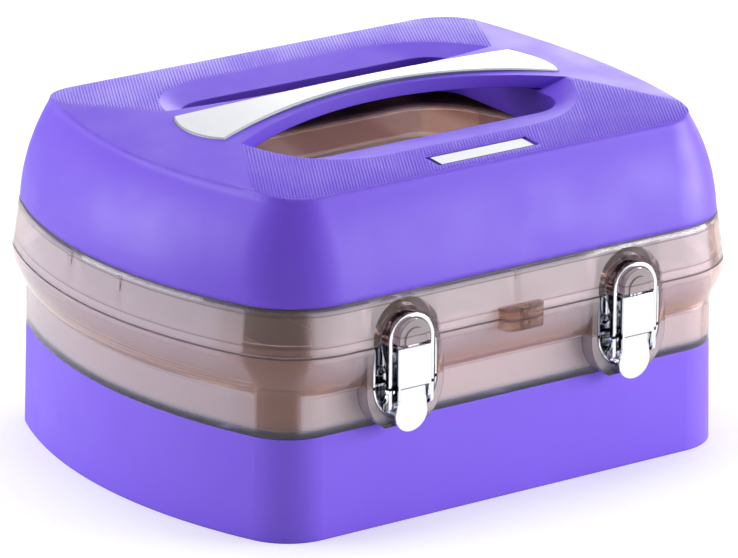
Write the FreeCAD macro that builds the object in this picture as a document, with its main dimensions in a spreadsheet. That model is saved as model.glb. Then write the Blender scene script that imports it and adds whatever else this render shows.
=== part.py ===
# Nail polish case: a purple tub and cover round a smoky clear bowl and lid,
# closed by two draw latches, with a lift-out tray inside.
# Millimetres, +Z up, front towards -Y, origin at the middle of the face it stands on.
import FreeCAD, Part
import math
import os

import Sketcher
from FreeCAD import Placement, Rotation, Vector

doc = FreeCAD.newDocument("nail_polish_case")
sheet = doc.addObject("Spreadsheet::Sheet", "sizes")

# Driving sizes, by the piece that they belong to
SIZES = [
    # Plan outlines: straight front and rear, bowed sides, rounded corners
    ("base_half_length", 142.8),
    ("base_half_depth", 107.8),
    ("base_side_radius", 242.0),
    ("base_corner", 27.0),
    ("seam_half_length", 150.0),
    ("seam_half_depth", 115.2),
    ("seam_side_radius", 225.0),
    ("seam_corner", 42.0),
    ("middle_half_length", 140.0),
    ("middle_half_depth", 105.6),
    ("middle_side_radius", 240.0),
    ("middle_corner", 34.0),
    ("crest_half_length", 128.3),
    ("crest_half_depth", 98.5),
    ("crest_side_radius", 290.0),
    ("crest_corner", 22.0),
    # Heights above the surface that the case stands on
    ("sleeve_height", 47.4),
    ("crease_height", 65.5),
    ("ledge_height", 70.0),
    ("bulge_height", 76.0),
    ("seam_height", 86.1),
    ("shoulder_height", 105.0),
    ("cover_edge_height", 107.7),
    ("middle_height", 134.0),
    ("crest_height", 150.5),
    ("crown_height", 163.2),
    # Tub
    ("sleeve_draft", 1.0),
    ("sleeve_wall", 2.8),
    ("sleeve_floor", 4.0),
    ("foot_recess", 1.0),
    ("foot_width", 9.0),
    # Bowl
    ("fit_gap", 0.2),
    ("bowl_wall", 2.6),
    ("bowl_floor_height", 9.0),
    ("bowl_foot_radius", 5.0),
    ("flare_low_inset", 4.4),
    ("flare_high_inset", 1.7),
    ("bowl_step", 2.4),
    ("ledge_wall", 3.2),
    ("bulge_wall", 3.9),
    ("lip_gap", 1.0),
    ("lip_thickness", 1.6),
    ("lip_height", 4.8),
    # Lid liner
    ("lid_gap", 0.2),
    ("skirt_wall", 2.4),
    ("skirt_draft", 2.6),
    ("cover_seat_inset", 3.4),
    ("roof_thickness", 2.4),
    ("rib_width", 3.0),
    ("rib_depth", 5.4),
    ("rib_height", 13.0),
    ("side_rib_spacing", 38.4),
    # Cover
    ("cover_wall", 2.8),
    ("cover_gap", 0.3),
    ("crown_radius", 750.0),
    ("panel_edge_height", 152.6),
    ("panel_rise", 5.2),
    ("saddle_half_depth", 29.0),
    ("saddle_top_half_depth", 15.0),
    ("dish_backing", 3.0),
    ("backing_half_length", 93.0),
    ("backing_half_depth", 72.0),
    ("backing_corner", 45.0),
    ("opening_half_length", 77.0),
    ("opening_half_depth", 50.0),
    ("opening_corner", 20.0),
    ("opening_height", 151.8),
    ("dish_half_length", 94.0),
    ("dish_half_depth", 105.0),
    ("dish_corner", 90.0),
    ("dish_height", 160.0),
    ("collar_wall", 2.5),
    ("roof_gap", 1.5),
    # Carrying bar and its bright plate
    ("bar_half_width", 8.4),
    ("bar_flare_radius", 205.0),
    ("bar_half_length", 93.0),
    ("bar_thickness", 6.0),
    ("plate_half_width", 5.4),
    ("plate_flare_radius", 300.0),
    ("plate_corner_length", 91.8),
    ("plate_end_radius", 38.0),
    ("plate_crown_height", 165.3),
    ("plate_crown_radius", 610.0),
    ("plate_recess", 0.5),
    ("plate_gap", 0.15),
    ("plate_bevel", 0.7),
    # Badge place on the front panel
    ("badge_length", 50.0),
    ("badge_width", 9.0),
    ("badge_thickness", 1.0),
    ("badge_sink", 0.2),
    ("badge_end_margin", 2.5),
    ("badge_side_margin", 1.0),
    ("badge_centre_depth", 85.5),
    # Latches
    ("latch_offset", 61.0),
    ("latch_foot_height", 67.5),
    ("frame_foot_height", 65.0),
    ("frame_radius", 20.5),
    ("frame_depth", 7.2),
    ("recess_radius", 14.8),
    ("recess_wall", 2.4),
    ("recess_top_height", 101.6),
    ("bracket_radius", 17.0),
    ("bracket_gap", 0.3),
    ("bracket_thickness", 1.0),
    ("bracket_flange", 1.1),
    ("bracket_depth", 7.0),
    ("bracket_top_height", 84.4),
    ("ear_spacing", 12.8),
    ("ear_radius", 2.6),
    ("ear_length", 10.0),
    ("ear_drop", 1.0),
    ("lever_pin_height", 80.0),
    ("lever_pin_reach", 9.4),
    ("bail_pin_height", 58.6),
    ("bail_pin_reach", 8.2),
    ("pin_diameter", 2.4),
    ("pin_clearance", 0.05),
    ("lever_reach", 13.4),
    ("lever_width", 17.5),
    ("lever_sheet", 1.0),
    ("lever_top_height", 85.2),
    ("notch_height", 66.9),
    ("notch_half_width", 7.5),
    ("lever_leg_height", 61.5),
    ("tab_neck", 6.5),
    ("tab_radius", 8.5),
    ("tab_end_height", 45.4),
    ("tab_sink", 0.4),
    ("tab_lean", 1.6),
    ("tab_sheet", 1.2),
    ("tab_bend", 1.0),
    ("tab_overlap", 4.0),
    ("lever_side_depth", 6.2),
    ("lever_waist_height", 72.0),
    ("lever_end_radius", 2.0),
    ("strike_half_width", 8.3),
    ("strike_centre_height", 89.2),
    ("strike_length", 14.2),
    ("strike_lift", 0.3),
    ("button_half_width", 5.6),
    ("button_centre_height", 88.4),
    ("button_rise", 0.7),
    ("strike_gap", 2.0),
    ("bail_centre_height", 87.6),
    ("bail_band", 1.7),
    ("bail_depth", 5.6),
    ("bail_leg_depth", 2.6),
    ("bail_shoulder_height", 84.0),
    ("bail_waist_height", 77.0),
    ("bail_hip_height", 63.5),
    ("bail_end_radius", 2.45),
    ("bail_pin_end", 0.3),
    ("rivet_spacing", 19.2),
    ("rivet_height", 72.0),
    ("rivet_diameter", 2.4),
    ("rivet_head_diameter", 5.5),
    ("rivet_head_height", 1.5),
    ("rivet_length", 2.8),
    # Padlock lugs
    ("lug_half_width", 11.5),
    ("lug_reach", 6.0),
    ("lug_root", 3.0),
    ("lug_corner", 6.5),
    ("lug_thickness", 4.8),
    ("lug_hole", 5.5),
    ("lug_hole_reach", 2.4),
    # Hinges
    ("hinge_offset", 61.0),
    ("hinge_reach", 3.6),
    ("knuckle_radius", 2.9),
    ("knuckle_length", 10.0),
    ("knuckle_gap", 0.3),
    ("hinge_root", 1.7),
    ("hinge_pin_diameter", 2.4),
    ("hinge_pin_end", 0.6),
    ("press_clearance", 0.02),
    # Screws
    ("screw_diameter", 3.0),
    ("screw_head_diameter", 6.0),
    ("screw_head_height", 2.0),
    ("screw_clearance", 0.2),
    ("screw_length", 6.0),
    ("screw_recess", 2.2),
    ("cover_screw_length", 10.0),
    ("base_screw_length_offset", 105.0),
    ("base_screw_depth_offset", 70.0),
    ("cover_screw_length_offset", 108.0),
    ("cover_screw_depth_offset", 62.0),
    ("post_radius", 3.6),
    ("pilot_clearance", 0.1),
    # Tray
    ("tray_gap", 0.8),
    ("tray_draft", 1.1),
    ("flange_inset", 8.6),
    ("tray_wall", 1.8),
    ("tray_floor_height", 50.0),
    ("tray_rim_height", 84.0),
    ("tray_flange", 2.0),
    ("cell_pitch", 39.0),
    ("cell_width", 28.5),
    ("cell_depth", 86.0),
    ("cell_corner", 6.0),
    ("spine_width", 12.0),
    # How far the cutting shapes stand clear of what they cut
    ("cutter_margin", 10.0),
]
COLUMNS = 6


for row, (alias, number) in enumerate(SIZES, start=1):
    sheet.set(f"A{row}", alias)
    sheet.set(f"B{row}", str(number))
    sheet.setAlias(f"B{row}", alias)
doc.recompute()


class Size:
    """A length that carries both its number now and the sheet expression behind it."""

    def __init__(self, number, text):
        self.number = float(number)
        self.text = text

    def join(self, sign, other, work):
        if isinstance(other, Size):
            return Size(work(self.number, other.number), f"({self.text} {sign} {other.text})")
        return Size(work(self.number, other), f"({self.text} {sign} {other})")

    def __add__(self, other):
        return self.join("+", other, lambda a, b: a + b)

    def __sub__(self, other):
        return self.join("-", other, lambda a, b: a - b)

    def __mul__(self, other):
        return self.join("*", other, lambda a, b: a * b)

    def __truediv__(self, other):
        return self.join("/", other, lambda a, b: a / b)

    def __neg__(self):
        return Size(-self.number, f"(0 - {self.text})")

    def root(self):
        return Size(math.sqrt(self.number), f"sqrt({self.text})")


class Sizes:
    """Gives each cell of the sheet by its alias."""

    def __getattr__(self, alias):
        return Size(sheet.get(alias), f"{sheet.Name}.{alias}")


S = Sizes()
ZERO = Size(0, "0")


def arc_drop(radius, reach):
    """How far an arc of this radius falls away at this distance from its top."""
    return radius - (radius * radius - reach * reach).root()


# Sketches: every length is bound to the sheet

def new_sketch(body, name, plane, offset=None):
    sketch = body.newObject("Sketcher::SketchObject", name)
    support = next(face for face in body.Origin.OriginFeatures if face.Role == plane)
    sketch.AttachmentSupport = (support, [""])
    sketch.MapMode = "FlatFace"
    if offset is not None:
        sketch.AttachmentOffset = Placement(Vector(0, 0, offset.number), Rotation())
        sketch.setExpression("AttachmentOffset.Base.z", offset.text)
    return sketch


def bind(sketch, size, kind, *where):
    """Adds a dimension and ties it to the sheet."""
    index = sketch.addConstraint(Sketcher.Constraint(kind, *where, size.number))
    sketch.setExpression(f"Constraints[{index}]", size.text)


def relate(sketch, kind, *where):
    sketch.addConstraint(Sketcher.Constraint(kind, *where))


def pin_point(sketch, edge, end, across, along):
    """Places one end of an edge at these distances from the sketch's origin."""
    if across is ZERO:
        relate(sketch, "PointOnObject", edge, end, -2)
    else:
        bind(sketch, across, "DistanceX", -1, 1, edge, end)
    if along is ZERO:
        relate(sketch, "PointOnObject", edge, end, -1)
    else:
        bind(sketch, along, "DistanceY", -1, 1, edge, end)


def arc_between(start, end, radius, turn):
    """An arc from start to end, a half circle without a radius: turn 1 is anticlockwise, -1 clockwise."""
    middle = (start + end) * 0.5
    chord = end - start
    half = chord.Length / 2
    if radius is None:
        radius = half
    reach = math.sqrt(max(radius * radius - half * half, 0.0))
    side = Vector(-chord.y, chord.x, 0).normalize() * turn
    centre = middle + side * reach
    first = math.atan2(start.y - centre.y, start.x - centre.x)
    last = math.atan2(end.y - centre.y, end.x - centre.x)
    circle = Part.Circle(centre, Vector(0, 0, 1), radius)
    if turn > 0:
        return Part.ArcOfCircle(circle, first, last), 1, 2
    return Part.ArcOfCircle(circle, last, first), 2, 1


def pin_centre(sketch, edge, corner, next_corner):
    """Keeps the centre of a half circle between its ends."""
    across, along = corner
    if abs(across.number - next_corner[0].number) < abs(along.number - next_corner[1].number):
        bind(sketch, across, "DistanceX", -1, 1, edge, 3)
    else:
        bind(sketch, along, "DistanceY", -1, 1, edge, 3)


def closed_path(sketch, corners, arcs=None):
    """Joins the corners by lines, or by an arc where arcs gives (radius, turn) for that side."""
    arcs = arcs or {}
    ends = []
    for number, (across, along) in enumerate(corners):
        start = Vector(across.number, along.number, 0)
        next_across, next_along = corners[(number + 1) % len(corners)]
        end = Vector(next_across.number, next_along.number, 0)
        if number in arcs:
            radius, turn = arcs[number]
            edge, first, last = arc_between(start, end, radius and radius.number, turn)
        else:
            edge, first, last = Part.LineSegment(start, end), 1, 2
        ends.append((sketch.addGeometry(edge, False), first, last))
    for number, (edge, first, last) in enumerate(ends):
        next_edge, next_first, _ = ends[(number + 1) % len(ends)]
        relate(sketch, "Coincident", edge, last, next_edge, next_first)
        pin_point(sketch, edge, first, *corners[number])
        if number in arcs and arcs[number][0]:
            bind(sketch, arcs[number][0], "Radius", edge)
        elif number in arcs:
            pin_centre(sketch, edge, corners[number], corners[(number + 1) % len(corners)])


def rectangle(sketch, left, right, low, high):
    closed_path(sketch, [(left, low), (right, low), (right, high), (left, high)])


def circle(sketch, across, along, diameter):
    centre = Vector(across.number, along.number, 0)
    edge = sketch.addGeometry(Part.Circle(centre, Vector(0, 0, 1), diameter.number / 2), False)
    pin_point(sketch, edge, 3, across, along)
    bind(sketch, diameter, "Diameter", edge)


def rounded_rectangle(sketch, half_length, half_depth, corner, across=ZERO, along=ZERO):
    """A centred rectangle with round corners."""
    right = across + half_length
    left = across - half_length
    high = along + half_depth
    low = along - half_depth
    corners = [
        (left + corner, low), (right - corner, low), (right, low + corner), (right, high - corner),
        (right - corner, high), (left + corner, high), (left, high - corner), (left, low + corner),
    ]
    closed_path(sketch, corners, {side: (corner, 1) for side in (1, 3, 5, 7)})


def bowed_outline(sketch, outline):
    """Straight front and rear, bowed sides and tangent round corners."""
    half_length, half_depth, side_radius, corner = outline
    centre = half_length - side_radius
    reach = side_radius.number - corner.number
    drop = half_depth.number - corner.number
    corner_x = centre.number + math.sqrt(reach * reach - drop * drop)
    lean = math.asin(drop / reach)
    up = Vector(0, 0, 1)

    def arc(middle_x, middle_y, radius, first, last):
        round_edge = Part.Circle(Vector(middle_x, middle_y, 0), up, radius)
        return sketch.addGeometry(Part.ArcOfCircle(round_edge, first, last), False)

    def line(start_x, height, end_x):
        edge = Part.LineSegment(Vector(start_x, height, 0), Vector(end_x, height, 0))
        return sketch.addGeometry(edge, False)

    depth = half_depth.number
    quarter = math.pi / 2
    front = line(-corner_x, -depth, corner_x)
    front_right = arc(corner_x, -drop, corner.number, -quarter, -lean)
    right = arc(centre.number, 0, side_radius.number, -lean, lean)
    rear_right = arc(corner_x, drop, corner.number, lean, quarter)
    rear = line(corner_x, depth, -corner_x)
    rear_left = arc(-corner_x, drop, corner.number, quarter, math.pi - lean)
    left = arc(-centre.number, 0, side_radius.number, math.pi - lean, math.pi + lean)
    front_left = arc(-corner_x, -drop, corner.number, math.pi + lean, 3 * quarter)
    loop = [front, front_right, right, rear_right, rear, rear_left, left, front_left]
    for edge, following in zip(loop, loop[1:] + loop[:1]):
        relate(sketch, "Tangent", edge, 2, following, 1)
    relate(sketch, "Symmetric", front, 1, front, 2, -2)
    relate(sketch, "Horizontal", rear)
    relate(sketch, "PointOnObject", right, 3, -1)
    relate(sketch, "PointOnObject", left, 3, -1)
    relate(sketch, "Equal", right, left)
    for other in (rear_right, rear_left, front_left):
        relate(sketch, "Equal", front_right, other)
    bind(sketch, corner, "Radius", front_right)
    bind(sketch, side_radius, "Radius", right)
    bind(sketch, half_depth, "DistanceY", front, 1, -1, 1)
    bind(sketch, half_depth, "DistanceY", -1, 1, rear, 1)
    bind(sketch, side_radius - half_length, "DistanceX", right, 3, -1, 1)


# Features

def pad(body, sketch, name, length, midplane=False, reverse=False):
    feature = body.newObject("PartDesign::Pad", name)
    feature.Profile = sketch
    feature.Length = length.number
    feature.setExpression("Length", length.text)
    feature.Midplane = midplane
    feature.Reversed = reverse
    return feature


def pocket(body, sketch, name, length=None, midplane=False, reverse=False):
    """Cuts to a length against the sketch's normal, or right through without one."""
    feature = body.newObject("PartDesign::Pocket", name)
    feature.Profile = sketch
    if length is None:
        feature.Type = "ThroughAll"
    else:
        feature.Length = length.number
        feature.setExpression("Length", length.text)
    feature.Midplane = midplane
    feature.Reversed = reverse
    return feature


def loft(body, name, sections, subtract=False, ruled=False):
    kind = "PartDesign::SubtractiveLoft" if subtract else "PartDesign::AdditiveLoft"
    feature = body.newObject(kind, name)
    feature.Profile = sections[0]
    feature.Sections = list(sections[1:])
    feature.Ruled = ruled
    return feature


def outline_loft(body, name, levels, subtract=False, ruled=False):
    """Lofts through bowed outlines, each given with its height."""
    sections = []
    for number, (height, outline) in enumerate(levels, start=1):
        sketch = new_sketch(body, f"{name}_section_{number}", "XY_Plane", height)
        bowed_outline(sketch, outline)
        sections.append(sketch)
    return loft(body, name, sections, subtract, ruled)


def new_body(name):
    body = doc.addObject("PartDesign::Body", name)
    body.Label = name
    return body


def place(item, x=ZERO, y=ZERO, z=ZERO):
    item.Placement = Placement(Vector(x.number, y.number, z.number), Rotation())
    for axis, size in (("x", x), ("y", y), ("z", z)):
        if size is not ZERO:
            item.setExpression(f"Placement.Base.{axis}", size.text)


# Plan outlines at the main levels, set inwards by an inset

def base_outline(inset):
    return (S.base_half_length - inset, S.base_half_depth - inset,
            S.base_side_radius - inset, S.base_corner - inset)


def seam_outline(inset):
    return (S.seam_half_length - inset, S.seam_half_depth - inset,
            S.seam_side_radius - inset, S.seam_corner - inset)


def middle_outline(inset):
    return (S.middle_half_length - inset, S.middle_half_depth - inset,
            S.middle_side_radius - inset, S.middle_corner - inset)


def crest_outline(inset):
    return (S.crest_half_length - inset, S.crest_half_depth - inset,
            S.crest_side_radius - inset, S.crest_corner - inset)


# Levels that several pieces share: distances in front of the middle plane are positive

FRONT = S.base_half_depth - S.sleeve_draft
BRACKET_FACE = FRONT + S.bracket_thickness
LEVER_PIN = BRACKET_FACE + S.lever_pin_reach
BAIL_PIN = BRACKET_FACE + S.bail_pin_reach
LEVER_FACE = BRACKET_FACE + S.lever_reach
STRIKE_FACE = FRONT + S.strike_length
LID_HEIGHT = S.seam_height + S.lid_gap
HINGE_DEPTH = S.seam_half_depth + S.hinge_reach
HINGE_HEIGHT = S.seam_height + S.lid_gap / 2
KNUCKLE_STEP = S.knuckle_length + S.knuckle_gap
SEAT_RADIUS = S.bracket_radius + S.bracket_gap
SEAT_HALF_WIDTH = SEAT_RADIUS + S.recess_wall
STRIKE_HALF_WIDTH = S.recess_radius + S.recess_wall
BAIL_FACE = BAIL_PIN + S.bail_end_radius
BAIL_INSIDE = S.strike_half_width + S.strike_gap
BAIL_OUTSIDE = BAIL_INSIDE + S.bail_band
SLEEVE_INSET = S.sleeve_draft + S.sleeve_wall
BOWL_HIGH_INSET = SLEEVE_INSET + S.fit_gap
BOWL_LOW_INSET = BOWL_HIGH_INSET - S.sleeve_draft
RIM_INSET = S.skirt_wall + S.lip_gap + S.lip_thickness
CORNERS = [(1, 1), (-1, 1), (-1, -1), (1, -1)]
SIDES = {"left": -1, "right": 1}


def recess_profile(sketch, across, half_width, centre, top):
    """A slot that is round at the bottom and open at the top."""
    left = across - half_width
    right = across + half_width
    closed_path(sketch, [(left, top), (left, centre), (right, centre), (right, top)], {1: (None, 1)})


def arch_profile(sketch, across, half_width, low, centre):
    """A slot that is open at the bottom and round at the top."""
    left = across - half_width
    right = across + half_width
    closed_path(sketch, [(left, low), (right, low), (right, centre), (left, centre)], {2: (None, 1)})


def latch_cut(body, name, profile, radius, *levels):
    """Cuts one latch recess on each side, back to the front face of the tub."""
    for side, sign in SIDES.items():
        sketch = new_sketch(body, f"{name}_{side}_outline", "XZ_Plane", FRONT + S.cutter_margin)
        profile(sketch, S.latch_offset * sign, radius, *levels)
        pocket(body, sketch, f"{name}_{side}", S.cutter_margin)


def front_block(body, name, across, half_width, low, high, back, front):
    sketch = new_sketch(body, f"{name}_outline", "XZ_Plane", back)
    rectangle(sketch, across - half_width, across + half_width, low, high)
    pad(body, sketch, name, front - back)


def lug(body, low):
    """A padlock lug at the middle of the front, with its hole."""
    back = S.lug_root - S.seam_half_depth
    front = -(S.seam_half_depth + S.lug_reach)
    left = -S.lug_half_width
    right = S.lug_half_width
    sketch = new_sketch(body, "lug_outline", "XY_Plane", low)
    closed_path(sketch, [
        (left, back), (left, front + S.lug_corner), (left + S.lug_corner, front),
        (right - S.lug_corner, front), (right, front + S.lug_corner), (right, back),
    ], {1: (S.lug_corner, 1), 3: (S.lug_corner, 1)})
    pad(body, sketch, "lug", S.lug_thickness)
    hole = new_sketch(body, "lug_hole_outline", "XY_Plane", low + S.lug_thickness)
    circle(hole, ZERO, -(S.seam_half_depth + S.lug_hole_reach), S.lug_hole)
    pocket(body, hole, "lug_hole", S.lug_thickness)


def knuckle(body, name, middle, arm_low, arm_high, bore):
    """A hinge knuckle on its arm, with the bore for the pin."""
    arm = new_sketch(body, f"{name}_arm_outline", "YZ_Plane", middle)
    rectangle(arm, S.seam_half_depth - S.hinge_root, HINGE_DEPTH, arm_low, arm_high)
    pad(body, arm, f"{name}_arm", S.knuckle_length, midplane=True)
    eye = new_sketch(body, f"{name}_outline", "YZ_Plane", middle)
    circle(eye, HINGE_DEPTH, HINGE_HEIGHT, S.knuckle_radius * 2)
    pad(body, eye, name, S.knuckle_length, midplane=True)
    hole = new_sketch(body, f"{name}_bore_outline", "YZ_Plane", middle)
    circle(hole, HINGE_DEPTH, HINGE_HEIGHT, bore)
    pocket(body, hole, f"{name}_bore", S.knuckle_length + S.knuckle_gap, midplane=True)


def corner_circles(body, name, height, offsets, diameter):
    """Four equal circles round the middle, in one sketch."""
    sketch = new_sketch(body, name, "XY_Plane", height)
    for side, end in CORNERS:
        circle(sketch, offsets[0] * side, offsets[1] * end, diameter)
    return sketch


BASE_SCREWS = (S.base_screw_length_offset, S.base_screw_depth_offset)
COVER_SCREWS = (S.cover_screw_length_offset, S.cover_screw_depth_offset)
SCREW_HOLE = S.screw_diameter + S.screw_clearance * 2
PILOT_HOLE = S.screw_diameter + S.pilot_clearance * 2
RIVET_HOLE = S.rivet_diameter + S.press_clearance * 2
PRESSED_HOLE = S.pin_diameter + S.press_clearance * 2
RUNNING_HOLE = S.pin_diameter + S.pin_clearance * 2


def make_base_sleeve():
    body = new_body("base_sleeve")
    outline_loft(body, "tub", [
        (ZERO, base_outline(ZERO)),
        (S.sleeve_height, base_outline(S.sleeve_draft)),
    ], ruled=True)
    outline_loft(body, "tub_cavity", [
        (S.sleeve_floor, base_outline(S.sleeve_wall)),
        (S.sleeve_height, base_outline(SLEEVE_INSET)),
    ], subtract=True, ruled=True)
    recess = new_sketch(body, "foot_recess_outline", "XY_Plane")
    bowed_outline(recess, base_outline(S.foot_width))
    pocket(body, recess, "foot_recess", S.foot_recess, reverse=True)
    seat_diameter = S.screw_head_diameter + S.screw_clearance * 2
    seats = corner_circles(body, "tub_seat_outlines", ZERO, BASE_SCREWS, seat_diameter)
    pocket(body, seats, "tub_seats", S.screw_recess, reverse=True)
    holes = corner_circles(body, "tub_hole_outlines", ZERO, BASE_SCREWS, SCREW_HOLE)
    pocket(body, holes, "tub_holes", S.sleeve_floor, reverse=True)
    return body


def make_lower_bowl():
    body = new_body("lower_bowl")
    step_height = S.sleeve_height + S.bowl_step
    outline_loft(body, "sunk_wall", [
        (S.bowl_floor_height, base_outline(BOWL_LOW_INSET)),
        (S.sleeve_height, base_outline(BOWL_HIGH_INSET)),
    ], ruled=True)
    band = new_sketch(body, "band_outline", "XY_Plane", S.sleeve_height)
    bowed_outline(band, base_outline(S.sleeve_draft))
    pad(body, band, "band", S.crease_height - S.sleeve_height)
    outline_loft(body, "flare", [
        (S.crease_height, base_outline(S.sleeve_draft)),
        (S.ledge_height, seam_outline(S.flare_low_inset)),
        (S.bulge_height, seam_outline(S.flare_high_inset)),
        (S.seam_height, seam_outline(ZERO)),
    ])
    outline_loft(body, "sunk_cavity", [
        (S.bowl_floor_height + S.bowl_wall, base_outline(BOWL_LOW_INSET + S.bowl_wall)),
        (step_height, base_outline(BOWL_HIGH_INSET + S.bowl_wall)),
    ], subtract=True, ruled=True)
    middle = new_sketch(body, "band_cavity_outline", "XY_Plane", S.ledge_height)
    bowed_outline(middle, base_outline(S.sleeve_draft + S.bowl_wall))
    pocket(body, middle, "band_cavity", S.ledge_height - step_height)
    outline_loft(body, "flare_cavity", [
        (S.ledge_height, seam_outline(S.flare_low_inset + S.ledge_wall)),
        (S.bulge_height, seam_outline(S.flare_high_inset + S.bulge_wall)),
        (S.seam_height, seam_outline(RIM_INSET)),
    ], subtract=True)
    feet = corner_circles(body, "foot_outlines", S.sleeve_floor, BASE_SCREWS, S.bowl_foot_radius * 2)
    pad(body, feet, "feet", S.bowl_floor_height - S.sleeve_floor)
    pilots = corner_circles(body, "foot_pilot_outlines", S.sleeve_floor, BASE_SCREWS, PILOT_HOLE)
    pocket(body, pilots, "foot_pilots", S.bowl_floor_height - S.sleeve_floor, reverse=True)
    lip = new_sketch(body, "lip_outline", "XY_Plane", S.seam_height)
    bowed_outline(lip, seam_outline(S.skirt_wall + S.lip_gap))
    bowed_outline(lip, seam_outline(RIM_INSET))
    pad(body, lip, "lip", S.lip_height)
    for side, sign in SIDES.items():
        across = S.latch_offset * sign
        half_gap = SEAT_HALF_WIDTH + S.lip_gap
        gap = new_sketch(body, f"lip_gap_{side}_outline", "XZ_Plane", S.seam_half_depth)
        rectangle(gap, across - half_gap, across + half_gap, S.seam_height, S.seam_height + S.cutter_margin)
        pocket(body, gap, f"lip_gap_{side}", S.cutter_margin)
        front_block(body, f"seat_block_{side}", across, SEAT_HALF_WIDTH, S.crease_height, S.seam_height,
                    FRONT - S.recess_wall, S.seam_half_depth - S.recess_wall)
        frame = new_sketch(body, f"frame_{side}_outline", "XZ_Plane", FRONT - S.recess_wall)
        recess_profile(frame, across, S.frame_radius, S.frame_foot_height, S.seam_height)
        pad(body, frame, f"frame_{side}", S.frame_depth + S.recess_wall)
    trim = new_sketch(body, "frame_trim_outline", "XZ_Plane", FRONT + S.cutter_margin)
    trim_reach = S.latch_offset + S.frame_radius + S.cutter_margin
    rectangle(trim, -trim_reach, trim_reach, ZERO, S.sleeve_height)
    pocket(body, trim, "frame_trim", S.cutter_margin + S.sleeve_wall + S.fit_gap)
    latch_cut(body, "seat", recess_profile, SEAT_RADIUS, S.latch_foot_height, S.seam_height + S.cutter_margin)
    rivet_holes = new_sketch(body, "seat_rivet_outlines", "XZ_Plane", FRONT)
    for sign in SIDES.values():
        for end in (-1, 1):
            across = S.latch_offset * sign + S.rivet_spacing / 2 * end
            circle(rivet_holes, across, S.rivet_height, RIVET_HOLE)
    pocket(body, rivet_holes, "seat_rivet_holes", S.rivet_length - S.bracket_thickness + S.press_clearance)
    lug(body, S.seam_height - S.lug_thickness)
    for side, sign in SIDES.items():
        for end in (-1, 1):
            knuckle(body, f"bowl_knuckle_{side}_{'low' if end < 0 else 'high'}",
                    S.hinge_offset * sign + KNUCKLE_STEP * end,
                    HINGE_HEIGHT - S.knuckle_radius, S.seam_height,
                    S.hinge_pin_diameter + S.press_clearance * 2)
    return body


def make_lid_shell():
    body = new_body("lid_shell")
    cover_inset = S.cover_seat_inset + S.cover_wall + S.cover_gap
    roof_inset = S.cover_wall + S.cover_gap
    shoulder_in = S.shoulder_height + S.fit_gap
    roof_low = S.middle_height - S.roof_thickness
    outline_loft(body, "skirt", [
        (LID_HEIGHT, seam_outline(ZERO)),
        (S.shoulder_height, seam_outline(S.skirt_draft)),
    ], ruled=True)
    outline_loft(body, "shoulder", [
        (S.shoulder_height, seam_outline(S.skirt_draft)),
        (S.cover_edge_height, seam_outline(S.cover_seat_inset)),
    ], ruled=True)
    outline_loft(body, "dome", [
        (S.cover_edge_height, seam_outline(cover_inset)),
        (S.middle_height, middle_outline(roof_inset)),
    ], ruled=True)
    outline_loft(body, "skirt_cavity", [
        (LID_HEIGHT, seam_outline(S.skirt_wall)),
        (shoulder_in, seam_outline(S.skirt_wall + S.skirt_draft)),
    ], subtract=True, ruled=True)
    outline_loft(body, "dome_cavity", [
        (shoulder_in, seam_outline(cover_inset + S.skirt_wall)),
        (roof_low, middle_outline(roof_inset + S.skirt_wall)),
    ], subtract=True, ruled=True)
    holes = corner_circles(body, "roof_hole_outlines", S.middle_height, COVER_SCREWS, SCREW_HOLE)
    pocket(body, holes, "roof_holes", S.roof_thickness)
    rib_low = shoulder_in - S.rib_height
    for end in (-1, 1):
        name = "front" if end < 0 else "rear"
        rib = new_sketch(body, f"{name}_rib_outline", "YZ_Plane")
        near = (S.seam_half_depth - S.skirt_wall + S.fit_gap) * end
        far = (S.seam_half_depth - S.skirt_wall - S.rib_depth) * end
        rectangle(rib, near, far, rib_low, shoulder_in)
        pad(body, rib, f"{name}_rib", S.rib_width, midplane=True)
    for side, sign in SIDES.items():
        near = (S.seam_half_length - S.skirt_wall - S.fit_gap) * sign
        far = (S.seam_half_length - S.skirt_wall - S.rib_depth) * sign
        for end in (-1, 1):
            middle = S.side_rib_spacing / 2 * end
            name = f"side_rib_{side}_{'front' if end < 0 else 'rear'}"
            rib = new_sketch(body, f"{name}_outline", "XY_Plane", rib_low)
            rectangle(rib, near, far, middle - S.rib_width / 2, middle + S.rib_width / 2)
            pad(body, rib, name, S.rib_height)
        across = S.latch_offset * sign
        front_block(body, f"strike_block_{side}", across, STRIKE_HALF_WIDTH, LID_HEIGHT, shoulder_in,
                    FRONT - S.recess_wall, S.seam_half_depth - S.skirt_wall - S.fit_gap)
    arch_centre = S.recess_top_height - S.recess_radius
    latch_cut(body, "strike_recess", arch_profile, S.recess_radius, LID_HEIGHT - S.cutter_margin, arch_centre)
    for side, sign in SIDES.items():
        strike = new_sketch(body, f"strike_{side}_outline", "XZ_Plane", FRONT)
        arch_profile(strike, S.latch_offset * sign, S.strike_half_width,
                     LID_HEIGHT + S.strike_lift, S.strike_centre_height)
        pad(body, strike, f"strike_{side}", S.strike_length)
        button = new_sketch(body, f"button_{side}_outline", "XZ_Plane", STRIKE_FACE)
        arch_profile(button, S.latch_offset * sign, S.button_half_width,
                     LID_HEIGHT + S.strike_lift, S.button_centre_height)
        pad(body, button, f"button_{side}", S.button_rise)
    lug(body, LID_HEIGHT)
    for side, sign in SIDES.items():
        knuckle(body, f"lid_knuckle_{side}", S.hinge_offset * sign, LID_HEIGHT + S.strike_lift,
                HINGE_HEIGHT + S.knuckle_radius, S.hinge_pin_diameter + S.pin_clearance * 2)
    return body


# Cover: the crown is a barrel about the Y direction, cut by a sloping panel at the front and rear

CLEAR_HEIGHT = S.plate_crown_height + S.cutter_margin
CLEAR_LENGTH = S.seam_half_length + S.cutter_margin
CLEAR_DEPTH = S.seam_half_depth + S.cutter_margin


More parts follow.
